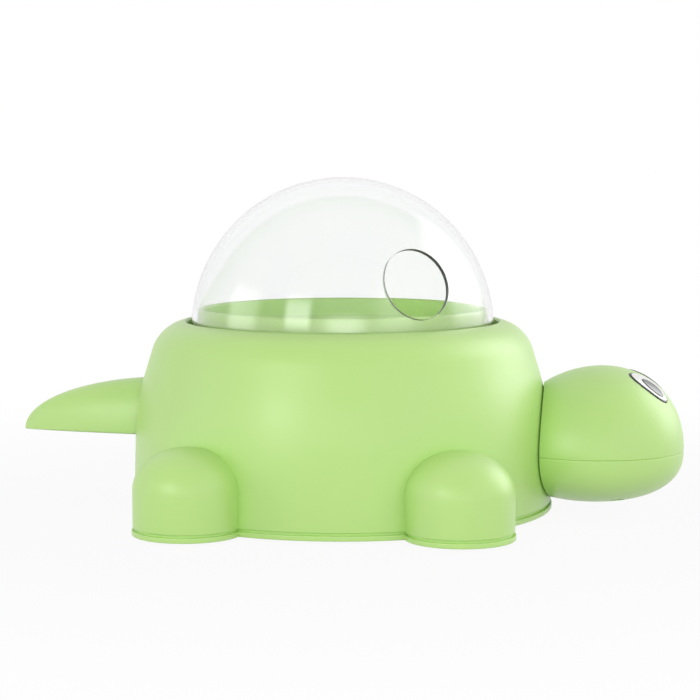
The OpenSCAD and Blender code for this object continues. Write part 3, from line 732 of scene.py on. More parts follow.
print("at the drum's side the horn is", round(2 * horn_size(DRUM_R)[0], 1), "mm wide")

# %% Horn

TIP_TURN = 89.2  # degrees, of the last ring before the tip
POCKETS = 3
POCKET_RIB = 1.8
ROOT_SOLID, TIP_SOLID = 4, 12  # lengths without pockets


def horn():
    """The part of the tail outside the drum, with pockets below."""
    span = TAIL_REACH - HORN_START
    start = asin((ROOT_X - HORN_START) / span)
    turns = [start + (radians(TIP_TURN) - start) * i / 90 for i in range(91)]
    piece = skin_over("tail_horn", [horn_ring(HORN_START + span * sin(t)) for t in turns])
    first = ROOT_X + ROOT_SOLID
    pitch = (TAIL_REACH - TIP_SOLID - first) / POCKETS
    for i in range(POCKETS):
        rings = []
        for k in range(9):
            x = first + i * pitch + (pitch - POCKET_RIB) * k / 8
            wide, high, low, mid = horn_size(x)
            rings.append(hood(x, wide - WALL, mid, high * (1 - HORN_SAG) - WALL, low - PAST))
        cut(piece, skin_over("pocket", rings))
    return piece


tail = horn()
print("horn with", POCKETS, "pockets,", len(tail.data.polygons), "faces")

# %% Slot

PRESS = 13  # degrees
PRESS_ARM = 35  # from the lever's pin to the drum's side
SLOT_REACH = (97, 73)
SLOT_INSIDE = 6  # the horn is measured this far inside the drum's side
SLOT_PLAY = 1


def tail_slot():
    """The drum's slot, wide enough for the horn and deep enough for its press."""
    wide, high, low, _ = horn_size(DRUM_R - SLOT_INSIDE)
    _, _, under, mid = horn_size(DRUM_R)
    drop = PRESS_ARM * sin(radians(PRESS))
    rise, bottom = low + high + SLOT_PLAY - mid, under - drop - SLOT_PLAY
    return skin_over("slot", [hood(x, wide + SLOT_PLAY, mid, rise, bottom) for x in SLOT_REACH])


cut(drum, tail_slot())
dress(drum, abs_green, "housing", "green_plastic", "body_shell")
dress(tail, abs_green, "tail", "green_plastic", "tail_lever")

# %% [markdown]
# ## The lever inside
#
# The horn is one end of a lever. Inside the drum it goes on as an arm with a thin web between
# two flanges, a hub that turns on a steel pin, and a round nose that lifts the launch plate.
# Flat outlines drawn out sideways are enough here, because the real piece is moulded that way.

# %% Lever arm

PIVOT = (-58, 34)
NOSE = (0, 27.392)
HUB_R = 9
HUB_HALF = 10
NOSE_R = 5
NOSE_NECK = 14.5
ARM_W = 14
ARM_DIP = 6.5  # degrees from hub to nose
FLANGE = 2.6
WEB_HALF = 1.5
PIN_BORE = 2.56
ROOT_LAP = 3  # how far the arm reaches into the horn
ROOT_LOW, ROOT_HIGH = 4, 5  # how far it stays inside the horn's underside and top


def lever_sides(inset):
    """The two outlines of the arm, each moved inwards."""
    dip = radians(ARM_DIP)
    up = Vector((sin(dip), cos(dip)))
    hub, nose = Vector(PIVOT), Vector(NOSE)
    hub_r = HUB_R - inset
    neck_z = NOSE[1] + NOSE_R / 2 - inset
    _, high, low, _ = horn_size(ROOT_X)
    end_x = inset - ROOT_X - ROOT_LAP
    inner = [hub + hub_r * up, (-NOSE_NECK - inset, neck_z), (0, neck_z)]
    inner += [nose - (NOSE_R - inset) * up, hub - hub_r * up]
    outer = [hub + Vector((0, hub_r)), hub - Vector((0, hub_r))]
    outer += [(end_x, low + ROOT_LOW + inset), (end_x, low + high - ROOT_HIGH - inset)]
    return [[(p[0] + AXIS[0], p[1]) for p in side] for side in (inner, outer)]


def rod(centre, r, half):
    """A bar along y about the centre plane."""
    return bars("y", [(centre[0] + AXIS[0], centre[1])], r, -half, half, 64)[0]


def lever():
    """Arm, hub and nose in one moulding, with the pin's bore."""
    half = ARM_W / 2
    inner, outer = lever_sides(0)
    piece = prism("tail_arm", inner, "y", -half, half)
    cut(piece, prism("arm", outer, "y", -half, half), how="UNION")
    for side in lever_sides(FLANGE):
        for low, high in ((WEB_HALF, ARM_W), (-ARM_W, -WEB_HALF)):
            cut(piece, prism("web", side, "y", low, high))
    cut(piece, rod(PIVOT, HUB_R, HUB_HALF), rod(NOSE, NOSE_R, half), how="UNION")
    return cut(piece, rod(PIVOT, PIN_BORE, HUB_HALF + PAST))


dress(lever(), abs_green, "tail", "green_plastic", "tail_lever")

# %% [markdown]
# ## The head, in two halves
#
# The head is a swollen half ellipsoid whose rings move forward towards the crown. It is moulded
# as two halves that meet in a level seam. The seam shows because each half's edge is slightly
# rounded there, so the rings next to it step inwards along a small arc. The back is trimmed by
# the drum's own side, grown by the gap between the two. Inside are bosses for the screws, and
# a lip on the lower half that lines the two up.

# %% Head rings

HEAD_X = 111
HEAD_A = 40
HEAD_B = 38
SEAM_Z = 27.2
HEAD_UP = 36.8
HEAD_DOWN = 22.4
CROWN_AHEAD = 4.4
CROWN_CURVE = 1.6
CHIN_BOXINESS = 2.4
SEAM_ROUND = 0.35
POLE_TURN = 89.6  # degrees, of the last ring before the pole
RING_SPREAD = 0.8


def head_ring(off, rise, high, edge=0, sides=168):
    """A ring of the head at a share of its height, moved inwards; edge is a further step in."""
    power = 2 if high > 0 else CHIN_BOXINESS
    level = (1 - min(rise, 1) ** power) ** (1 / power)
    middle = AXIS[0] + HEAD_X + (CROWN_AHEAD * rise**CROWN_CURVE if high > 0 else 0)
    a, b = (HEAD_A - off) * level - edge, (HEAD_B - off) * level - edge
    turns = [2 * pi * j / sides for j in range(sides)]
    z = SEAM_Z + (high - off if high > 0 else high + off) * rise
    return [(middle + a * cos(t), b * sin(t), z) for t in turns]


def head_rings(off, high, rounded=False):
    """Rings from the seam to the crown or, where high is negative, to the chin."""
    rises = [sin(radians(POLE_TURN * i / 60)) ** RING_SPREAD for i in range(61)]
    rings = [head_ring(off, rise, high) for rise in rises]
    if rounded:
        steps = [SEAM_ROUND * k / 4 for k in range(5)]
        inset = [SEAM_ROUND - sqrt(SEAM_ROUND**2 - (SEAM_ROUND - t) ** 2) for t in steps]
        edge = [head_ring(off, t / abs(high), high, d) for t, d in zip(steps, inset)]
        rings = edge + [r for r, rise in zip(rings, rises) if rise * abs(high) > 1.5 * SEAM_ROUND]
    return rings


def at_level(ring, z):
    """A ring moved to a level."""
    return [(x, y, z) for x, y, _ in ring]


print("the head's seam is at", SEAM_Z, "mm and its crown at", SEAM_Z + HEAD_UP, "mm")

# %% Hollow, columns and lip

HEAD_SCREWS = [(118.6, -18), (118.6, 18)]
LIP_FOOT, LIP_OUTSIDE, LIP_INSIDE = 1.9, 2.9, 4.3  # steps in from the head's skin
LIP_LEVELS = [(LIP_FOOT, -3), (LIP_FOOT, -0.2), (LIP_OUTSIDE, -0.2), (LIP_OUTSIDE, 2.6)]
LIP_HOLE = 4


def head_half(name, high):
    """One hollow half of the head, trimmed to the drum."""
    piece = cut(skin_over(name, head_rings(0, high, True)), drum_grown(NECK_GAP))
    room = head_rings(WALL, high)
    over = at_level(room[0], SEAM_Z - (PAST if high > 0 else -PAST))
    hollow = cut(skin_over("hollow", [over] + room), drum_grown(NECK_GAP + WALL))
    return cut(piece, hollow)


def columns(r, high):
    """The head screws' columns, from the seam into the wall."""
    low, top = sorted((SEAM_Z, SEAM_Z + high))
    posts = joined(bars("z", HEAD_SCREWS, r, low, top))
    return cut(posts, skin_over("inside", head_rings(WALL / 2, high)), how="INTERSECT")


def lip():
    """The ring on the lower half that stands inside the upper half."""
    rings = [at_level(head_ring(off, 0, 1), SEAM_Z + z) for off, z in LIP_LEVELS]
    hole = [at_level(head_ring(LIP_INSIDE, 0, 1), SEAM_Z + z) for z in (-LIP_HOLE, LIP_HOLE)]
    piece = cut(skin_over("lip", rings), skin_over("hole", hole))
    return cut(piece, drum_grown(NECK_GAP + LIP_OUTSIDE))


print("the lip has", round(LIP_OUTSIDE - WALL, 2), "mm of play in the upper half")

# %% Head halves

HEAD_BORE = 11
HEAD_SEAT = 8  # the screws' heads sit this far below the seam
SINK_R = 3.1
NECK_BORE = (82, 104)
SOCKET_END = 108
UPPER_SOCKET, LOWER_SOCKET = 90.8, 92


def upper_half():
    """The upper half with sockets for neck and head screws."""
    piece = head_half("head_top", HEAD_UP)
    sockets = bars("x", NECK_SCREWS[:2], BOSS_R, UPPER_SOCKET, SOCKET_END)
    cut(piece, joined(sockets), columns(BOSS_R, HEAD_UP), how="UNION")
    bores = bars("x", NECK_SCREWS[:2], PILOT_R, *NECK_BORE)
    bores += bars("z", HEAD_SCREWS, PILOT_R, SEAM_Z - PAST, SEAM_Z + HEAD_BORE)
    return cut(piece, joined(bores))


def lower_half():
    """The lower half with lip, socket, and columns that let the screws in from below."""
    piece = head_half("head_bottom", -HEAD_DOWN)
    socket = bars("x", NECK_SCREWS[2:], BOSS_R, LOWER_SOCKET, SOCKET_END)
    cut(piece, lip(), *socket, columns(BOSS_R + 1, -HEAD_DOWN), how="UNION")
    bores = bars("x", NECK_SCREWS[2:], PILOT_R, *NECK_BORE)
    bores += bars("z", HEAD_SCREWS, PASS_R, 0, SEAM_Z + PAST)
    sinks = bars("z", HEAD_SCREWS, SINK_R, 0, SEAM_Z - HEAD_SEAT)
    return cut(piece, joined(bores), joined(sinks))


head_top = upper_half()
dress(lower_half(), abs_green, "housing", "green_plastic", "head_lower")

# %% [markdown]
# ## Eyes that follow the head
#
# Each eye is an oval cap that hugs the curved head. Its points are laid out flat in the eye's
# own frame, then dropped along that frame's axis onto the head's skin, a little raised for the
# top and a little sunk for the bottom. The same method makes the pupil, and slightly larger
# copies cut the recess in the head and the hole in the white.

# %% Caps on the head

EYE_LEVEL = 0.8
EYE_Y = 10.2
EYE_TURN, EYE_TILT, EYE_ROLL = 27, 38, 15  # degrees
DROP_FROM = 18
# Shares of the cap's size, and of the way from its top to its bottom
CAP_STEPS = [(0.02, 0), (0.2, 0), (0.4, 0), (0.6, 0), (0.75, 0), (0.85, 0), (0.92, 0.01)]
CAP_STEPS += [(0.955, 0.04), (0.98, 0.1), (0.995, 0.19), (1, 0.3), (1, 1)]


def eye_frame(s):
    """The place and turn of an eye, s being 1 for the left and -1 for the right."""
    part = sqrt(1 - EYE_LEVEL**2)
    reach = HEAD_A * part * sqrt(1 - (EYE_Y / (HEAD_B * part)) ** 2)
    x = AXIS[0] + HEAD_X + CROWN_AHEAD * EYE_LEVEL**CROWN_CURVE + reach
    place = Matrix.Translation((x, s * EYE_Y, SEAM_Z + HEAD_UP * EYE_LEVEL))
    turn = Matrix.Rotation(radians(EYE_TURN * s), 4, "Z")
    turn = turn @ Matrix.Rotation(radians(EYE_TILT), 4, "Y")
    return place @ turn @ Matrix.Rotation(radians(-EYE_ROLL * s), 4, "Z")


def head_skin(off):
    """The head's upper skin moved inwards, ready to be hit by rays."""
    rings = head_rings(off, HEAD_UP)
    return BVHTree.FromPolygons([Vector(p) for ring in rings for p in ring], quads(rings))


def cap(name, place, half, raised, sunk, grown=0, sides=96):
    """An oval cap on the head, from a raised skin down to a sunk one, with a rounded rim."""
    top, bottom = head_skin(-raised), head_skin(sunk)
    axis = -(place.to_3x3() @ Vector((0, 0, 1)))
    a, b = half[0] + grown, half[1] + grown
    rings, flat = [], []
    for share, drop in CAP_STEPS:
        ring = []
        for j in range(sides):
            t = 2 * pi * j / sides
            spot = place @ Vector((a * share * cos(t), b * share * sin(t), DROP_FROM))
            high, low = (skin.ray_cast(spot, axis)[0] for skin in (top, bottom))
            ring.append(high.lerp(low, drop))
            flat.append((0.5 + 0.5 * share * cos(t), 0.5 + 0.5 * share * sin(t)))
        rings.append(ring)
    piece = skin_over(name, rings)
    oval = piece.data.uv_layers.new(name="oval")
    for loop, corner in zip(piece.data.loops, oval.data):
        corner.uv = flat[loop.vertex_index]
    return piece


print("an eye sits at", [round(v, 1) for v in eye_frame(1).translation], "mm")

# %% Eyes and pupils

EYE_HALF = (10.3, 6.3)
PUPIL_SHARE = 0.56
PUPIL_SHIFT = (0.14, 0.1)  # shares of the eye's half sizes
EYE_RAISED, PUPIL_RAISED = 0.5, 0.7
CAP_SUNK = 1
CAP_PLAY = 0.1
TOOL_RAISED, TOOL_SUNK = 6, 3


def eye(side, s):
    """One eye with its pupil, set into the head."""
    place = eye_frame(s)
    shift = (PUPIL_SHIFT[0] * EYE_HALF[0], s * PUPIL_SHIFT[1] * EYE_HALF[1], 0)
    pupil_place = place @ Matrix.Translation(shift)
    pupil_half = [PUPIL_SHARE * h for h in EYE_HALF]
    cut(head_top, cap("recess", place, EYE_HALF, TOOL_RAISED, CAP_SUNK + CAP_PLAY, CAP_PLAY))
    white = cap("eye_cap_" + side, place, EYE_HALF, EYE_RAISED, CAP_SUNK)
    cut(white, cap("hole", pupil_place, pupil_half, TOOL_RAISED, TOOL_SUNK, CAP_PLAY))
    pupil = cap("pupil_cap_" + side, pupil_place, pupil_half, PUPIL_RAISED, CAP_SUNK)
    dress(white, eye_white, "housing", "eye_white", "eye_" + side)
    dress(pupil, eye_black, "housing", "eye_black", "pupil_" + side)


eye("left", 1)
eye("right", -1)
dress(head_top, abs_green, "housing", "green_plastic", "head_upper")

# %% [markdown]
# ## The clear dome
#
# The dome is a hemisphere with one round outlet. Cutting the hole into a mesh of rings would
# leave ragged faces, and clear plastic shows every one. So the shell is turned about the
# outlet's own axis instead: the hole's edge is then part of the outline, with its own small
# rounding, and only the level rim is cut.
#
# Clear acrylic lets light through, bends it at both faces and mirrors a little at each. Its
# gloss is uneven only by the haze that hands leave. The hole's wall isn't polished as the faces
# are, so the material frosts whatever lies as near the outlet's axis as that wall.

# %% Clear acrylic

DOME_R = 67.2
DOME_WALL = 2
DOME_Z = 78.809
DOME_C = 79.509
OUTLET_R = 15.3
OUTLET_TURN = 36.3
OUTLET_RISE = 20.7
OUTLET_ROUND = 0.4
HAZE_MM = 25
FROST_FADE = (0.2, 0.5)  # past the outlet's wall
dome_middle = Vector((*AXIS, DOME_C)) * MM
outlet_aim = Matrix.Rotation(radians(OUTLET_TURN - 90), 4, "Z")
outlet_aim = outlet_aim @ Matrix.Rotation(radians(90 - OUTLET_RISE), 4, "Y")


def clear_acrylic():
    """Acrylic, clear and polished, with a frosted wall in the outlet."""
    material = blank_material("acrylic_clear")
    tree = material.node_tree
    place = add(tree, "ShaderNodeTexCoord").outputs["Object"]
    haze = add(
        tree, "ShaderNodeTexNoise", {"Vector": place, "Scale": 1 / (HAZE_MM * MM), "Detail": 3}
    )
    tones = {0: haze, 6: linear("#FBFCFD"), 7: linear("#FFFFFF")}
    tone = add(tree, "ShaderNodeMix", tones, data_type="RGBA")
    axis = outlet_aim.to_3x3() @ Vector((0, 0, 1))
    out = add(tree, "ShaderNodeVectorMath", {0: place, 1: dome_middle}, operation="SUBTRACT")
    across = add(tree, "ShaderNodeVectorMath", {0: out, 1: axis}, operation="CROSS_PRODUCT")
    off_axis = add(tree, "ShaderNodeVectorMath", {0: across}, operation="LENGTH")
    near, far = ((OUTLET_R + past) * MM for past in FROST_FADE)
    frost = add(
        tree,
        "ShaderNodeMapRange",
        {"Value": off_axis, "From Min": near, "From Max": far, "To Min": 0.45, "To Max": 0},
    )
    uneven = {0: haze, 1: 0.006, 2: frost}
    rough = add(tree, "ShaderNodeMath", uneven, operation="MULTIPLY_ADD")
    shader = add(
        tree,
        "ShaderNodeBsdfPrincipled",
        {"Base Color": tone, "Roughness": rough, "Transmission Weight": 1, "IOR": 1.49},
    )
    add(tree, "ShaderNodeOutputMaterial", {"Surface": shader})
    return material


acrylic = clear_acrylic()
print("material", acrylic.name)

# %% Dome


def dome():
    """A clear spherical shell with a round hole, cut level at its rim."""
    inner_r = DOME_R - DOME_WALL
    ends = [90 - asin(OUTLET_R / r) * 180 / pi - 0.5 for r in (inner_r, DOME_R)]
    inner = arc((0, 0), inner_r, -90, ends[0], 200)
    outer = arc((0, 0), DOME_R, ends[1], -90, 200)
    outer[-1], inner[0] = (0, -DOME_R), (0, -inner_r)
    edges = [(OUTLET_R, sqrt(r**2 - OUTLET_R**2), OUTLET_ROUND) for r in (inner_r, DOME_R)]
    hole = fillet([inner[-1], *edges, outer[0]])[1:-1]
    piece = turned("clear_dome", inner + hole + outer, 360)
    piece.data.transform(Matrix.Translation(dome_middle) @ outlet_aim)
    far = 2 * DOME_R
    square = [(-far, -far), (far, -far), (far, far), (-far, far)]
    return cut(piece, prism("below", square, "z", DOME_Z - far, DOME_Z))


dress(dome(), acrylic, "dome", "clear_plastic", "dome")

# %% [markdown]
# ## Tray, launch plate and seal
#
# Inside the dome stands the tray's collar, with a soft ring in a groove that grips the dome.
# The bowl slopes down to a dished plate, which a stem lifts. All three are turned.
# Their free edges get small radii, because a moulded edge is never perfectly sharp.

# %% Tray

COLLAR_R = 64.2
COLLAR_IN = 62
COLLAR_TOP = 89.009
COLLAR_ROUND = 1.1
FLANGE_TOP = 78.609
FLANGE_R = 68.7
FLOOR_Z = 65.409
BOWL_RIM_Z = 80.009
BOWL_CURVE = 2.2
BOWL_WALL = 2.86
WELL_R = 30.2
WELL_Z = 62.009
TRAY_WALL = 2.2
TRAY_R = SHELF_R - 0.5  # of the bowl's outside, where it passes the drum's shelf
STEM_BORE = 5.06
GUIDE_R = 7.96
GUIDE_Z = 49.808
GROOVE_IN = 63.1
GROOVE = (79.609, 79.609 + 1.8)
TRAY_SINK_R = 2.02
TRAY_SINK = 1.2


def bowl(r0, r1, drop):
    """The bowl's curve between two radii, lowered."""
    radii = [r0 + (r1 - r0) * i / 32 for i in range(33)]
    shares = [max(0, (r - WELL_R) / (COLLAR_IN - 1 - WELL_R)) for r in radii]
    depth = BOWL_RIM_Z - FLOOR_Z
    return [(r, FLOOR_Z - drop + depth * share**BOWL_CURVE) for r, share in zip(radii, shares)]


def tray():
    """Guide, bowl, flange and collar, with three screw holes."""
    under, outside = WELL_Z - TRAY_WALL, WELL_R + TRAY_WALL
    corners = [(STEM_BORE, GUIDE_Z, 0.3), (GUIDE_R, GUIDE_Z, 0.5), (GUIDE_R, under, 0.6)]
    corners += [(outside, under, 0.5)] + bowl(outside, TRAY_R, BOWL_WALL)
    corners += [(TRAY_R, seat_z), (FLANGE_R, seat_z, 0.3), (FLANGE_R, FLANGE_TOP, 0.4)]
    corners += [(COLLAR_R, FLANGE_TOP, 0.2), (COLLAR_R, GROOVE[0]), (GROOVE_IN, GROOVE[0])]
    corners += [(GROOVE_IN, GROOVE[1]), (COLLAR_R, GROOVE[1])]
    top = (COLLAR_R - COLLAR_ROUND, COLLAR_TOP - COLLAR_ROUND)
    corners += arc(top, COLLAR_ROUND, 0, 180, 16)
    corners += [(COLLAR_IN, BOWL_RIM_Z + 1, 0.5)] + bowl(COLLAR_IN - 1, WELL_R, 0)
    corners += [(WELL_R, WELL_Z, 0.5), (STEM_BORE, WELL_Z, 0.3)]
    piece = turned("treat_bowl", fillet(corners), 192, AXIS, closed=True)
    for r, low in ((PASS_R, seat_z - PAST), (TRAY_SINK_R, FLANGE_TOP - TRAY_SINK)):
        cut(piece, joined(bars("z", tray_places, r, low, FLANGE_TOP + PAST)))
    return piece


dress(tray(), abs_green, "housing", "green_plastic", "treat_tray")

# %% Plate and seal

STEM_R = 5
STEM_Z = 34.592
PLATE_R = 29.6
PLATE_Z = WELL_Z + 0.7
PLATE_T = 2.7
DISH_R = 26.6
DISH_DEPTH = 1
SEAL_IN, SEAL_OUT = 63.2, 65.1
SEAL_LOW, SEAL_HIGH = 79.709, 81.309


def launch_plate():
    """A dished plate on its stem, with a bevelled edge."""
    edge = PLATE_Z + PLATE_T
    corners = [(0, STEM_Z), (STEM_R, STEM_Z, 0.4), (STEM_R, PLATE_Z, 0.6)]
    corners += [(PLATE_R - 1, PLATE_Z, 0.4), (PLATE_R, PLATE_Z + 1, 0.4)]
    corners += [(PLATE_R, edge - 0.6, 0.3), (PLATE_R - 0.6, edge, 0.3)]
    corners += [(DISH_R, edge, 1.5), (0, edge - DISH_DEPTH)]
    return turned("toss_plate", fillet(corners), 128, AXIS)


def seal():
    """A soft ring with rounded edges."""
    corners = [(SEAL_IN, SEAL_LOW, 0.4), (SEAL_OUT, SEAL_LOW, 0.5)]
    corners += [(SEAL_OUT, SEAL_HIGH, 0.5), (SEAL_IN, SEAL_HIGH, 0.4)]
    return turned("seal_ring", fillet(corners), 192, AXIS, closed=True)


dress(launch_plate(), abs_green, "launcher", "green_plastic", "launch_plate")
dress(seal(), silicone, "seal_ring", "pale_rubber", "dome_seal")

# %% [markdown]
# ## Base plate and pads
#
# The base plate follows the outline of drum and feet, so its outline is eight arcs that meet
# where the circles cross. The same number of points on every arc lets rings of different size
# be joined into one skin: a rim with rounded edges, and a narrower land above it that leaves
# the dark shadow gap seen in the photo. Posts for the lever's pin stand on it.

# %% Base outline


def lobed(grown, z):
    """One ring round drum and feet, grown outwards."""
    big, small = DRUM_R + grown, FOOT_R + grown
    swing = acos((big**2 - FOOT_PITCH**2 - small**2) / (2 * FOOT_PITCH * small))
    away = atan2(small * sin(swing), FOOT_PITCH + small * cos(swing))
    turns = [radians(a) for a in sorted(turn % 360 for turn in FOOT_TURNS)]
    ring = []
    for i, turn in enumerate(turns):
        middle = Vector((cos(turn), sin(turn))) * FOOT_PITCH + Vector(AXIS)
        spread = [turn + swing * (k / 32 - 1) for k in range(65)]
        ring += [(middle.x + small * cos(t), middle.y + small * sin(t), z) for t in spread]
        ahead = turns[(i + 1) % 4] + (2 * pi if i == 3 else 0)
        first, last = turn + away, ahead - away
        spread = [first + (last - first) * k / 64 for k in range(1, 64)]
        ring += [(AXIS[0] + big * cos(t), AXIS[1] + big * sin(t), z) for t in spread]
    return ring


print("a ring round drum and feet has", len(lobed(0, 0)), "points")

# %% Posts for the pin

BASE_Z = 1
BASE_TOP = 3.2
POST_FOOT = 13
POST_SIDES = (10.5, 15.5)
GUSSET_SIDES = (15, 22.5)
GUSSET_TOP = 23
GUSSET_HALF = 1.5
pivot_x = PIVOT[0] + AXIS[0]
sunk_z = BASE_TOP - 0.5  # what stands on the plate starts a little inside it


def post(s):
    """One post for the lever's pin."""
    outline = [(pivot_x - POST_FOOT, sunk_z), (pivot_x + POST_FOOT, sunk_z)]
    outline += arc((pivot_x, PIVOT[1]), HUB_R - 1, 0, 180, 32)
    return prism("post", outline, "y", *sorted(s * y for y in POST_SIDES))


def gusset(s):
    """The rib that steadies a post."""
    near, far = (s * y for y in GUSSET_SIDES)
    outline = [(near, sunk_z), (far, sunk_z), (near, GUSSET_TOP)]
    return prism("gusset", outline, "x", pivot_x - GUSSET_HALF, pivot_x + GUSSET_HALF)


print("the pin's posts stand at", pivot_x, "mm")

# %% Base plate

RIM_PROUD, LAND_IN = 0.4, 0.9  # past the feet, and inside them
LOCATOR_R = (88.4, 90)
LOCATOR_TOP = 7.6
POST_BORE = 2.52
POST_BORE_HALF = 18
STAND_X = -14
STAND_R = (8, 6)
STAND_TOP = 20.55
PAD_WELL_R = 13.2
PAD_TOP = 2
BASE_SINK = 2.8
BASE_HOLE = 6


def base():
    """Rim, land, locating ring, posts and pedestal, with recesses for pads and screws."""
    edge = [(-2, BASE_Z), (RIM_PROUD, BASE_Z, 0.4), (RIM_PROUD, BASE_TOP, 0.3)]
    edge = fillet(edge + [(-LAND_IN, BASE_TOP), (-LAND_IN, SHELL_Z)])
    piece = skin_over("floor_plate", [lobed(grown, z) for grown, z in edge])
    inner, outer = LOCATOR_R
    ring = [(inner, BASE_TOP - 0.2), (outer, BASE_TOP - 0.2)]
    ring += [(outer, LOCATOR_TOP, 0.3), (inner, LOCATOR_TOP, 0.3)]
    cut(piece, turned("ring", fillet(ring), 192, AXIS, closed=True), how="UNION")
    cut(piece, post(1), post(-1), gusset(1), gusset(-1), how="UNION")
    stand = [(0, sunk_z), (STAND_R[0], sunk_z), (STAND_R[1], STAND_TOP, 0.4), (0, STAND_TOP)]
    cut(piece, turned("stand", fillet(stand), 64, (AXIS[0] + STAND_X, 0)), how="UNION")
    cut(piece, rod(PIVOT, POST_BORE, POST_BORE_HALF))
    cut(piece, joined(bars("z", foot_places, PAD_WELL_R, 0, PAD_TOP, 96)))
    for r, high in ((PASS_R, BASE_HOLE), (SINK_R, BASE_SINK)):
        cut(piece, joined(bars("z", base_places, r, 0, high)))
    return piece


dress(base(), abs_green, "housing", "green_plastic", "base_plate")

# %% Foot pads

PAD_R = 13
GROOVE_MIDDLES = (6.4, 10.2)
GROOVE_SHAPE = [(-0.8, 0), (-0.4, 0.6), (0.4, 0.6), (0.8, 0)]  # steps across, and depths
PAD_NAMES = ("front_left", "front_right", "rear_left", "rear_right")


def pad(name, at):
    """A soft pad with a rounded edge and two grip grooves."""
    corners = [(0, 0)]
    for middle in GROOVE_MIDDLES:
        for step, deep in GROOVE_SHAPE:
            corners.append((middle + step, deep, 0.3))
    corners += [(PAD_R, 0, 0.8), (PAD_R, PAD_TOP, 0.2), (0, PAD_TOP)]
    return turned("grip_" + name, fillet(corners), 96, at)


for name, at in zip(PAD_NAMES, foot_places):
    dress(pad(name, at), rubber, "housing", "grey_rubber", "pad_" + name)

# %% [markdown]
# ## Screws by the handful
#
# Five kinds of screw hold the product together. Each kind is one half outline and a list of
# places, so a second Geometry Nodes tree turns the outline with the first tree, cuts a cross
# recess into the head, and puts a copy on every place. A real-life change of screw is then a
# change of one outline.

# %% The screw tree

BLADE_THIN, BLADE_DEEP = 0.22, 0.45  # shares of the recess's width
SCREW_STEPS = 32


def screw_tree():
    """Geometry Nodes: a screw with a cross recess on every point of a mesh."""
    tree, given = geometry_tree(
        "screws_on_points",
        "Screws",
        Places="Geometry",
        Outline="Object",
        Turn="Vector",
        Recess="Float",
        Material="Material",
    )
    shape = add(tree, "GeometryNodeObjectInfo", {"Object": given["Outline"]}).outputs["Geometry"]
    screw = add(
        tree,
        "GeometryNodeGroup",
        {"Outline": shape, "Steps": SCREW_STEPS, "Material": given["Material"]},
        node_tree=turned_profile,
    )
    wide = given["Recess"]
    thin = add(tree, "ShaderNodeMath", {0: wide, 1: BLADE_THIN}, operation="MULTIPLY")
    deep = add(tree, "ShaderNodeMath", {0: wide, 1: BLADE_DEEP}, operation="MULTIPLY")
    for x, y in ((wide, thin), (thin, wide)):
        size = add(tree, "ShaderNodeCombineXYZ", {"X": x, "Y": y, "Z": deep})
        blade = add(tree, "GeometryNodeMeshCube", {"Size": size})
        meshes = {"Mesh 1": screw, "Mesh 2": blade}
        screw = add(tree, "GeometryNodeMeshBoolean", meshes, operation="DIFFERENCE")
    copies = add(
        tree,
        "GeometryNodeInstanceOnPoints",
        {"Points": given["Places"], "Instance": screw, "Rotation": given["Turn"]},
    )
    real = add(tree, "GeometryNodeRealizeInstances", {"Geometry": copies})
    coated = add(
        tree, "GeometryNodeSetMaterial", {"Geometry": real, "Material": given["Material"]}
    )
    add(tree, "NodeGroupOutput", {"Screws": coated})
    return tree


screws_on_points = screw_tree()
print("tree", screws_on_points.name, "with", len(screws_on_points.nodes), "nodes")

# %% Five kinds of screw

SHANK_R = 1.5
RECESS_SHARE = 1.15  # of the head's radius
BIG_HEAD, TRAY_HEAD, STEM_HEAD = (2.9, 1.8), (2, 1.2), (2.5, 1.2)  # radius and height
UP, DOWN, BACK = (0, 0, 0), (pi, 0, 0), (0, -pi / 2, 0)  # where the head's outer face looks
STEM_SCREW_Z = 32.592
HEAD_SCREW_Z = SEAM_Z - HEAD_SEAT - BIG_HEAD[1]
NECK_SCREW_X = 80.2


def screws(name, places, turn, head, length, body="housing"):
    """Pan-head screws: head is (radius, height), places are the middles of their outer faces."""
    r, h = head
    outline = [(0, 0), (r * 0.7, -0.02, 0.2), (r, -0.55 * h, 0.25), (r, -h, 0.15), (SHANK_R, -h)]
    outline += [(SHANK_R, 0.8 - h - length, 0.3), (0.4, -h - length, 0.2), (0, -h - length)]
    shape = half_outline("screw_outline", fillet(outline, 3))
    piece = new_piece("fixing_" + name, places)
    wanted = {"Turn": turn, "Recess": RECESS_SHARE * r * MM, "Material": zinc_steel}
    grow(piece, screws_on_points, Outline=shape, **wanted)
    bpy.data.objects.remove(shape)
    dress(piece, zinc_steel, body, "steel", name)


screws("base_screws", [(*p, BASE_Z) for p in base_places], DOWN, BIG_HEAD, 16)
screws("tray_screws", [(*p, FLANGE_TOP) for p in tray_places], UP, TRAY_HEAD, 9)
screws("stem_screw", [(*AXIS, STEM_SCREW_Z)], DOWN, STEM_HEAD, 9.8, "launcher")
screws("head_screws", [(*p, HEAD_SCREW_Z) for p in HEAD_SCREWS], DOWN, BIG_HEAD, 17)
screws("neck_screws", [(NECK_SCREW_X, *p) for p in NECK_SCREWS], BACK, BIG_HEAD, 20)

# %% [markdown]
# ## The return spring
#
# The spring is a wire wound round the plate's guide, with its end turns closed up so that it
# stands square. Its rings follow a helix whose rise is slow at both ends. When the plate goes
# up the spring shortens towards the bowl.

# %% Spring

SPRING_R = 10.2
WIRE_R = 0.6
SPRING_LOW, SPRING_HIGH = 36.292, 59.109
TURNS = 6
END_PITCH = 1.45  # of a closed turn, in wire thicknesses


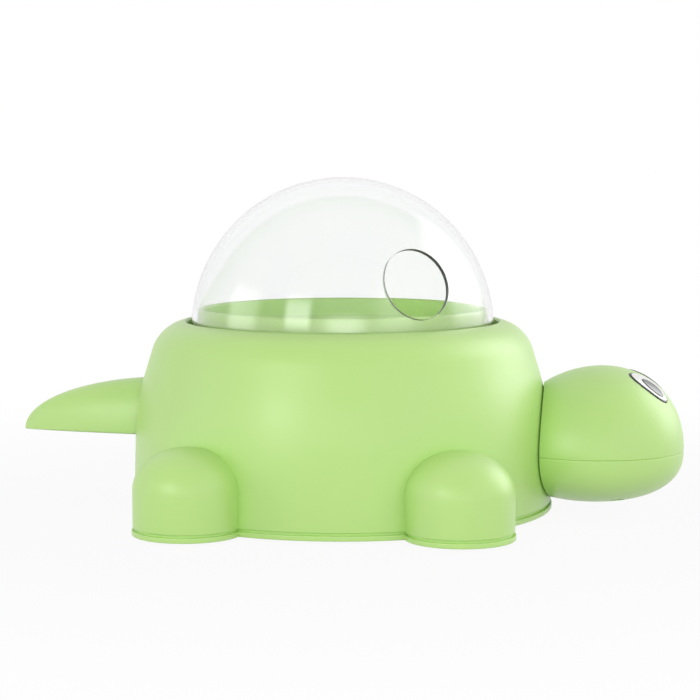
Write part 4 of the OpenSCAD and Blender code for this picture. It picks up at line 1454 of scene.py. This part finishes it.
def wire_height(t):
    """Height of the wire's middle after t turns."""
    end = END_PITCH * 2 * WIRE_R
    middle = SPRING_HIGH - SPRING_LOW - 2 * end
    if t < 1:
        return SPRING_LOW + end * t
    if t > TURNS - 1:
        return SPRING_HIGH - end * (TURNS - t)
    return SPRING_LOW + end + middle * (t - 1) / (TURNS - 2)


def spring(per_turn=64, sides=16):
    """A tube along the helix."""
    rings = []
    for i in range(TURNS * per_turn + 1):
        t = i / per_turn
        ring = []
        for k in range(sides):
            b = 2 * pi * k / sides
            r = SPRING_R + WIRE_R * cos(b)
            z = wire_height(t) + WIRE_R * sin(b)
            ring.append((AXIS[0] + r * cos(2 * pi * t), r * sin(2 * pi * t), z))
        rings.append(ring)
    return skin_over("wound_spring", rings)


coil = spring()
dress(coil, zinc_steel, "housing", "steel", "return_spring")
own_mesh(coil)

# %% [markdown]
# ## Solids that stay as they are
#
# The stem's foot, the pin with its clips and the rubber stop sit deep inside. Their CAD shapes
# are complete, so they only get their finish.

# %% Finishes for the remaining solids
for name, material in {
    "stem_foot": acetal,
    "pivot_pin": zinc_steel,
    "pin_clips": zinc_steel,
    "stop_pad": rubber,
}.items():
    mesh = solids[name].data
    mesh.materials.clear()
    mesh.materials.append(material)
    print(name, "wears", material.name)

# %% [markdown]
# ## Camera
#
# The camera repeats the one that took the photo. Its place and focal length came from fitting
# the outlines of drum, dome, head and tail, and the lens is shifted a little because the photo
# was cropped off centre.

# %% Camera
eye_point = Vector((87.2, -891.3, 155.75)) * MM
aim_point = Vector((-3, 0, 69.8)) * MM
camera = bpy.data.objects.new("photo_camera", bpy.data.cameras.new("photo_camera"))
camera.data.sensor_width = 36
camera.data.lens = 103.74
camera.data.shift_x = 0.0105
camera.location = eye_point
camera.rotation_euler = (aim_point - eye_point).to_track_quat("-Z", "Y").to_euler()
scene.collection.objects.link(camera)
scene.camera = camera
print("camera", round((aim_point - eye_point).length / MM), "mm from its aim")

# %% [markdown]
# ## Studio light
#
# The photo is a high-key product shot: white all round, a large soft box at the back right, and
# one at the front left, which the dome mirrors. Pale walls fill the front and both sides. The
# world is white where the camera and clear plastic look at it, and so is the backdrop in every
# mirror. Towards the room in front it is dimmer, so that the dome's curve reads against the
# white.

# %% World

WHITE = (1, 1, 1, 1)
TO_BACKDROP = (0.4, 0.7, 0.6)
SOFT_LIGHT = 0.46
ROOM_IN_MIRRORS = 0.62


def looks(tree):
    """Switches for rays: straight or through clear plastic, in a mirror, and any of these."""
    path = add(tree, "ShaderNodeLightPath").outputs
    ways = {0: path["Is Camera Ray"], 1: path["Is Transmission Ray"]}
    straight = add(tree, "ShaderNodeMath", ways, operation="MAXIMUM")
    mirror = path["Is Glossy Ray"]
    seen = add(tree, "ShaderNodeMath", {0: straight, 1: mirror}, operation="MAXIMUM")
    return straight, mirror, seen


def white_world():
    """White where it is looked at, a dimmer room in mirrors, and a soft light for the rest."""
    world = bpy.data.worlds.new("white_room")
    world.use_nodes = True
    tree = world.node_tree
    tree.nodes.clear()
    straight, mirror, seen = looks(tree)
    way = add(tree, "ShaderNodeTexCoord").outputs["Generated"]
    back = add(tree, "ShaderNodeVectorMath", {0: way, 1: TO_BACKDROP}, operation="DOT_PRODUCT")
    room = {"From Min": -0.3, "From Max": 0.6, "To Min": ROOM_IN_MIRRORS, "To Max": 1}
    behind = add(tree, "ShaderNodeMapRange", {"Value": back, **room})
    mirrored = add(tree, "ShaderNodeMath", {0: behind, 1: mirror}, operation="MULTIPLY")
    bright = add(tree, "ShaderNodeMath", {0: straight, 1: mirrored}, operation="MAXIMUM")
    soft = add(
        tree, "ShaderNodeMapRange", {"Value": seen, "To Min": SOFT_LIGHT, "To Max": bright}
    )
    glow = add(tree, "ShaderNodeBackground", {"Color": WHITE, "Strength": soft})
    add(tree, "ShaderNodeOutputWorld", {"Surface": glow})
    return world


scene.world = white_world()
print("world", scene.world.name)

# %% Floor

FLOOR_HALF = 3000
FLOOR_AT = -0.1  # just under the pads, so that the two don't share a plane
SHADOW_NEAR, SHADOW_FAR = 160, 420  # between these distances the shadow fades out
GLOW_NEAR = 0.93


def white_floor():
    """Paper that looks white from afar and keeps part of the shadow near the object."""
    material = blank_material("paper_white")
    tree = material.node_tree
    _, _, seen = looks(tree)
    place = add(tree, "ShaderNodeTexCoord").outputs["Object"]
    away = add(tree, "ShaderNodeVectorMath", {0: place}, operation="LENGTH")
    reach = {"From Min": SHADOW_NEAR * MM, "From Max": SHADOW_FAR * MM}
    fade = add(
        tree, "ShaderNodeMapRange", {"Value": away, **reach, "To Min": GLOW_NEAR, "To Max": 1}
    )
    share = add(tree, "ShaderNodeMath", {0: seen, 1: fade}, operation="MULTIPLY")
    paper = add(tree, "ShaderNodeBsdfDiffuse", {"Color": linear("#C4C4C4")})
    glow = add(tree, "ShaderNodeEmission", {"Color": WHITE, "Strength": 1})
    mixed = add(tree, "ShaderNodeMixShader", {0: share, 1: paper, 2: glow})
    add(tree, "ShaderNodeOutputMaterial", {"Surface": mixed})
    signs = [(-1, -1), (1, -1), (1, 1), (-1, 1)]
    corners = [(FLOOR_HALF * x, FLOOR_HALF * y, FLOOR_AT) for x, y in signs]
    floor = new_piece("floor", corners, faces=[(0, 1, 2, 3)])
    floor.data.materials.append(material)


white_floor()
print("floor", 2 * FLOOR_HALF, "mm wide")

# %% [markdown]
# ## Soft boxes
#
# A soft box is brightest in its middle and fades towards its frame, and the dome mirrors that
# fade. An area lamp is even by itself. Its own small node tree reads where on the lamp a ray
# starts and dims the edges of both pairs. The three fills stand for pale walls around the set:
# they light the surface, but have no frame that a mirror would show.

# %% Lamps

LAMP_AIM = Vector((0, 0, 60))


def lamp(name, at, size, watts, fade, mirrored=True):
    """A soft box at a place, aimed at the drum. Its edges fade over a share of its size."""
    light = bpy.data.lights.new(name, "AREA")
    light.shape = "RECTANGLE"
    light.size, light.size_y = size[0] * MM, size[1] * MM
    light.energy = watts
    light.use_nodes = True
    tree = light.node_tree
    tree.nodes.clear()
    spot = add(tree, "ShaderNodeNewGeometry").outputs["Parametric"]
    sides = add(tree, "ShaderNodeSeparateXYZ", {"Vector": spot}).outputs
    dims = []
    for side, share in zip("XY", fade):
        off = add(tree, "ShaderNodeMath", {0: sides[side], 1: 0.5}, operation="SUBTRACT")
        from_middle = add(tree, "ShaderNodeMath", {0: off}, operation="ABSOLUTE")
        edge = {"Value": from_middle, "From Min": 0.5, "From Max": 0.5 - share}
        dims.append(add(tree, "ShaderNodeMapRange", edge, interpolation_type="SMOOTHSTEP"))
    glow = add(tree, "ShaderNodeMath", {0: dims[0], 1: dims[1]}, operation="MULTIPLY")
    shine = add(tree, "ShaderNodeEmission", {"Color": WHITE, "Strength": glow})
    add(tree, "ShaderNodeOutputLight", {"Surface": shine})
    box = bpy.data.objects.new(name, light)
    box.location = Vector(at) * MM
    box.rotation_euler = (LAMP_AIM - Vector(at)).to_track_quat("-Z", "Y").to_euler()
    box.visible_glossy = mirrored
    scene.collection.objects.link(box)


lamp("box_right", (790, 400, 450), (1000, 1000), 6.8, (0.3, 0.3))
lamp("box_strip", (-480, -900, 330), (450, 600), 3.4, (0.25, 0.4))
lamp("fill_left", (-1000, -250, 250), (700, 700), 6.3, (0.3, 0.4), mirrored=False)
lamp("fill_front", (150, -1150, 200), (900, 500), 8, (0.4, 0.4), mirrored=False)
lamp("fill_near", (800, -750, 350), (900, 900), 7, (0.4, 0.4), mirrored=False)
scene.view_settings.view_transform = "Standard"
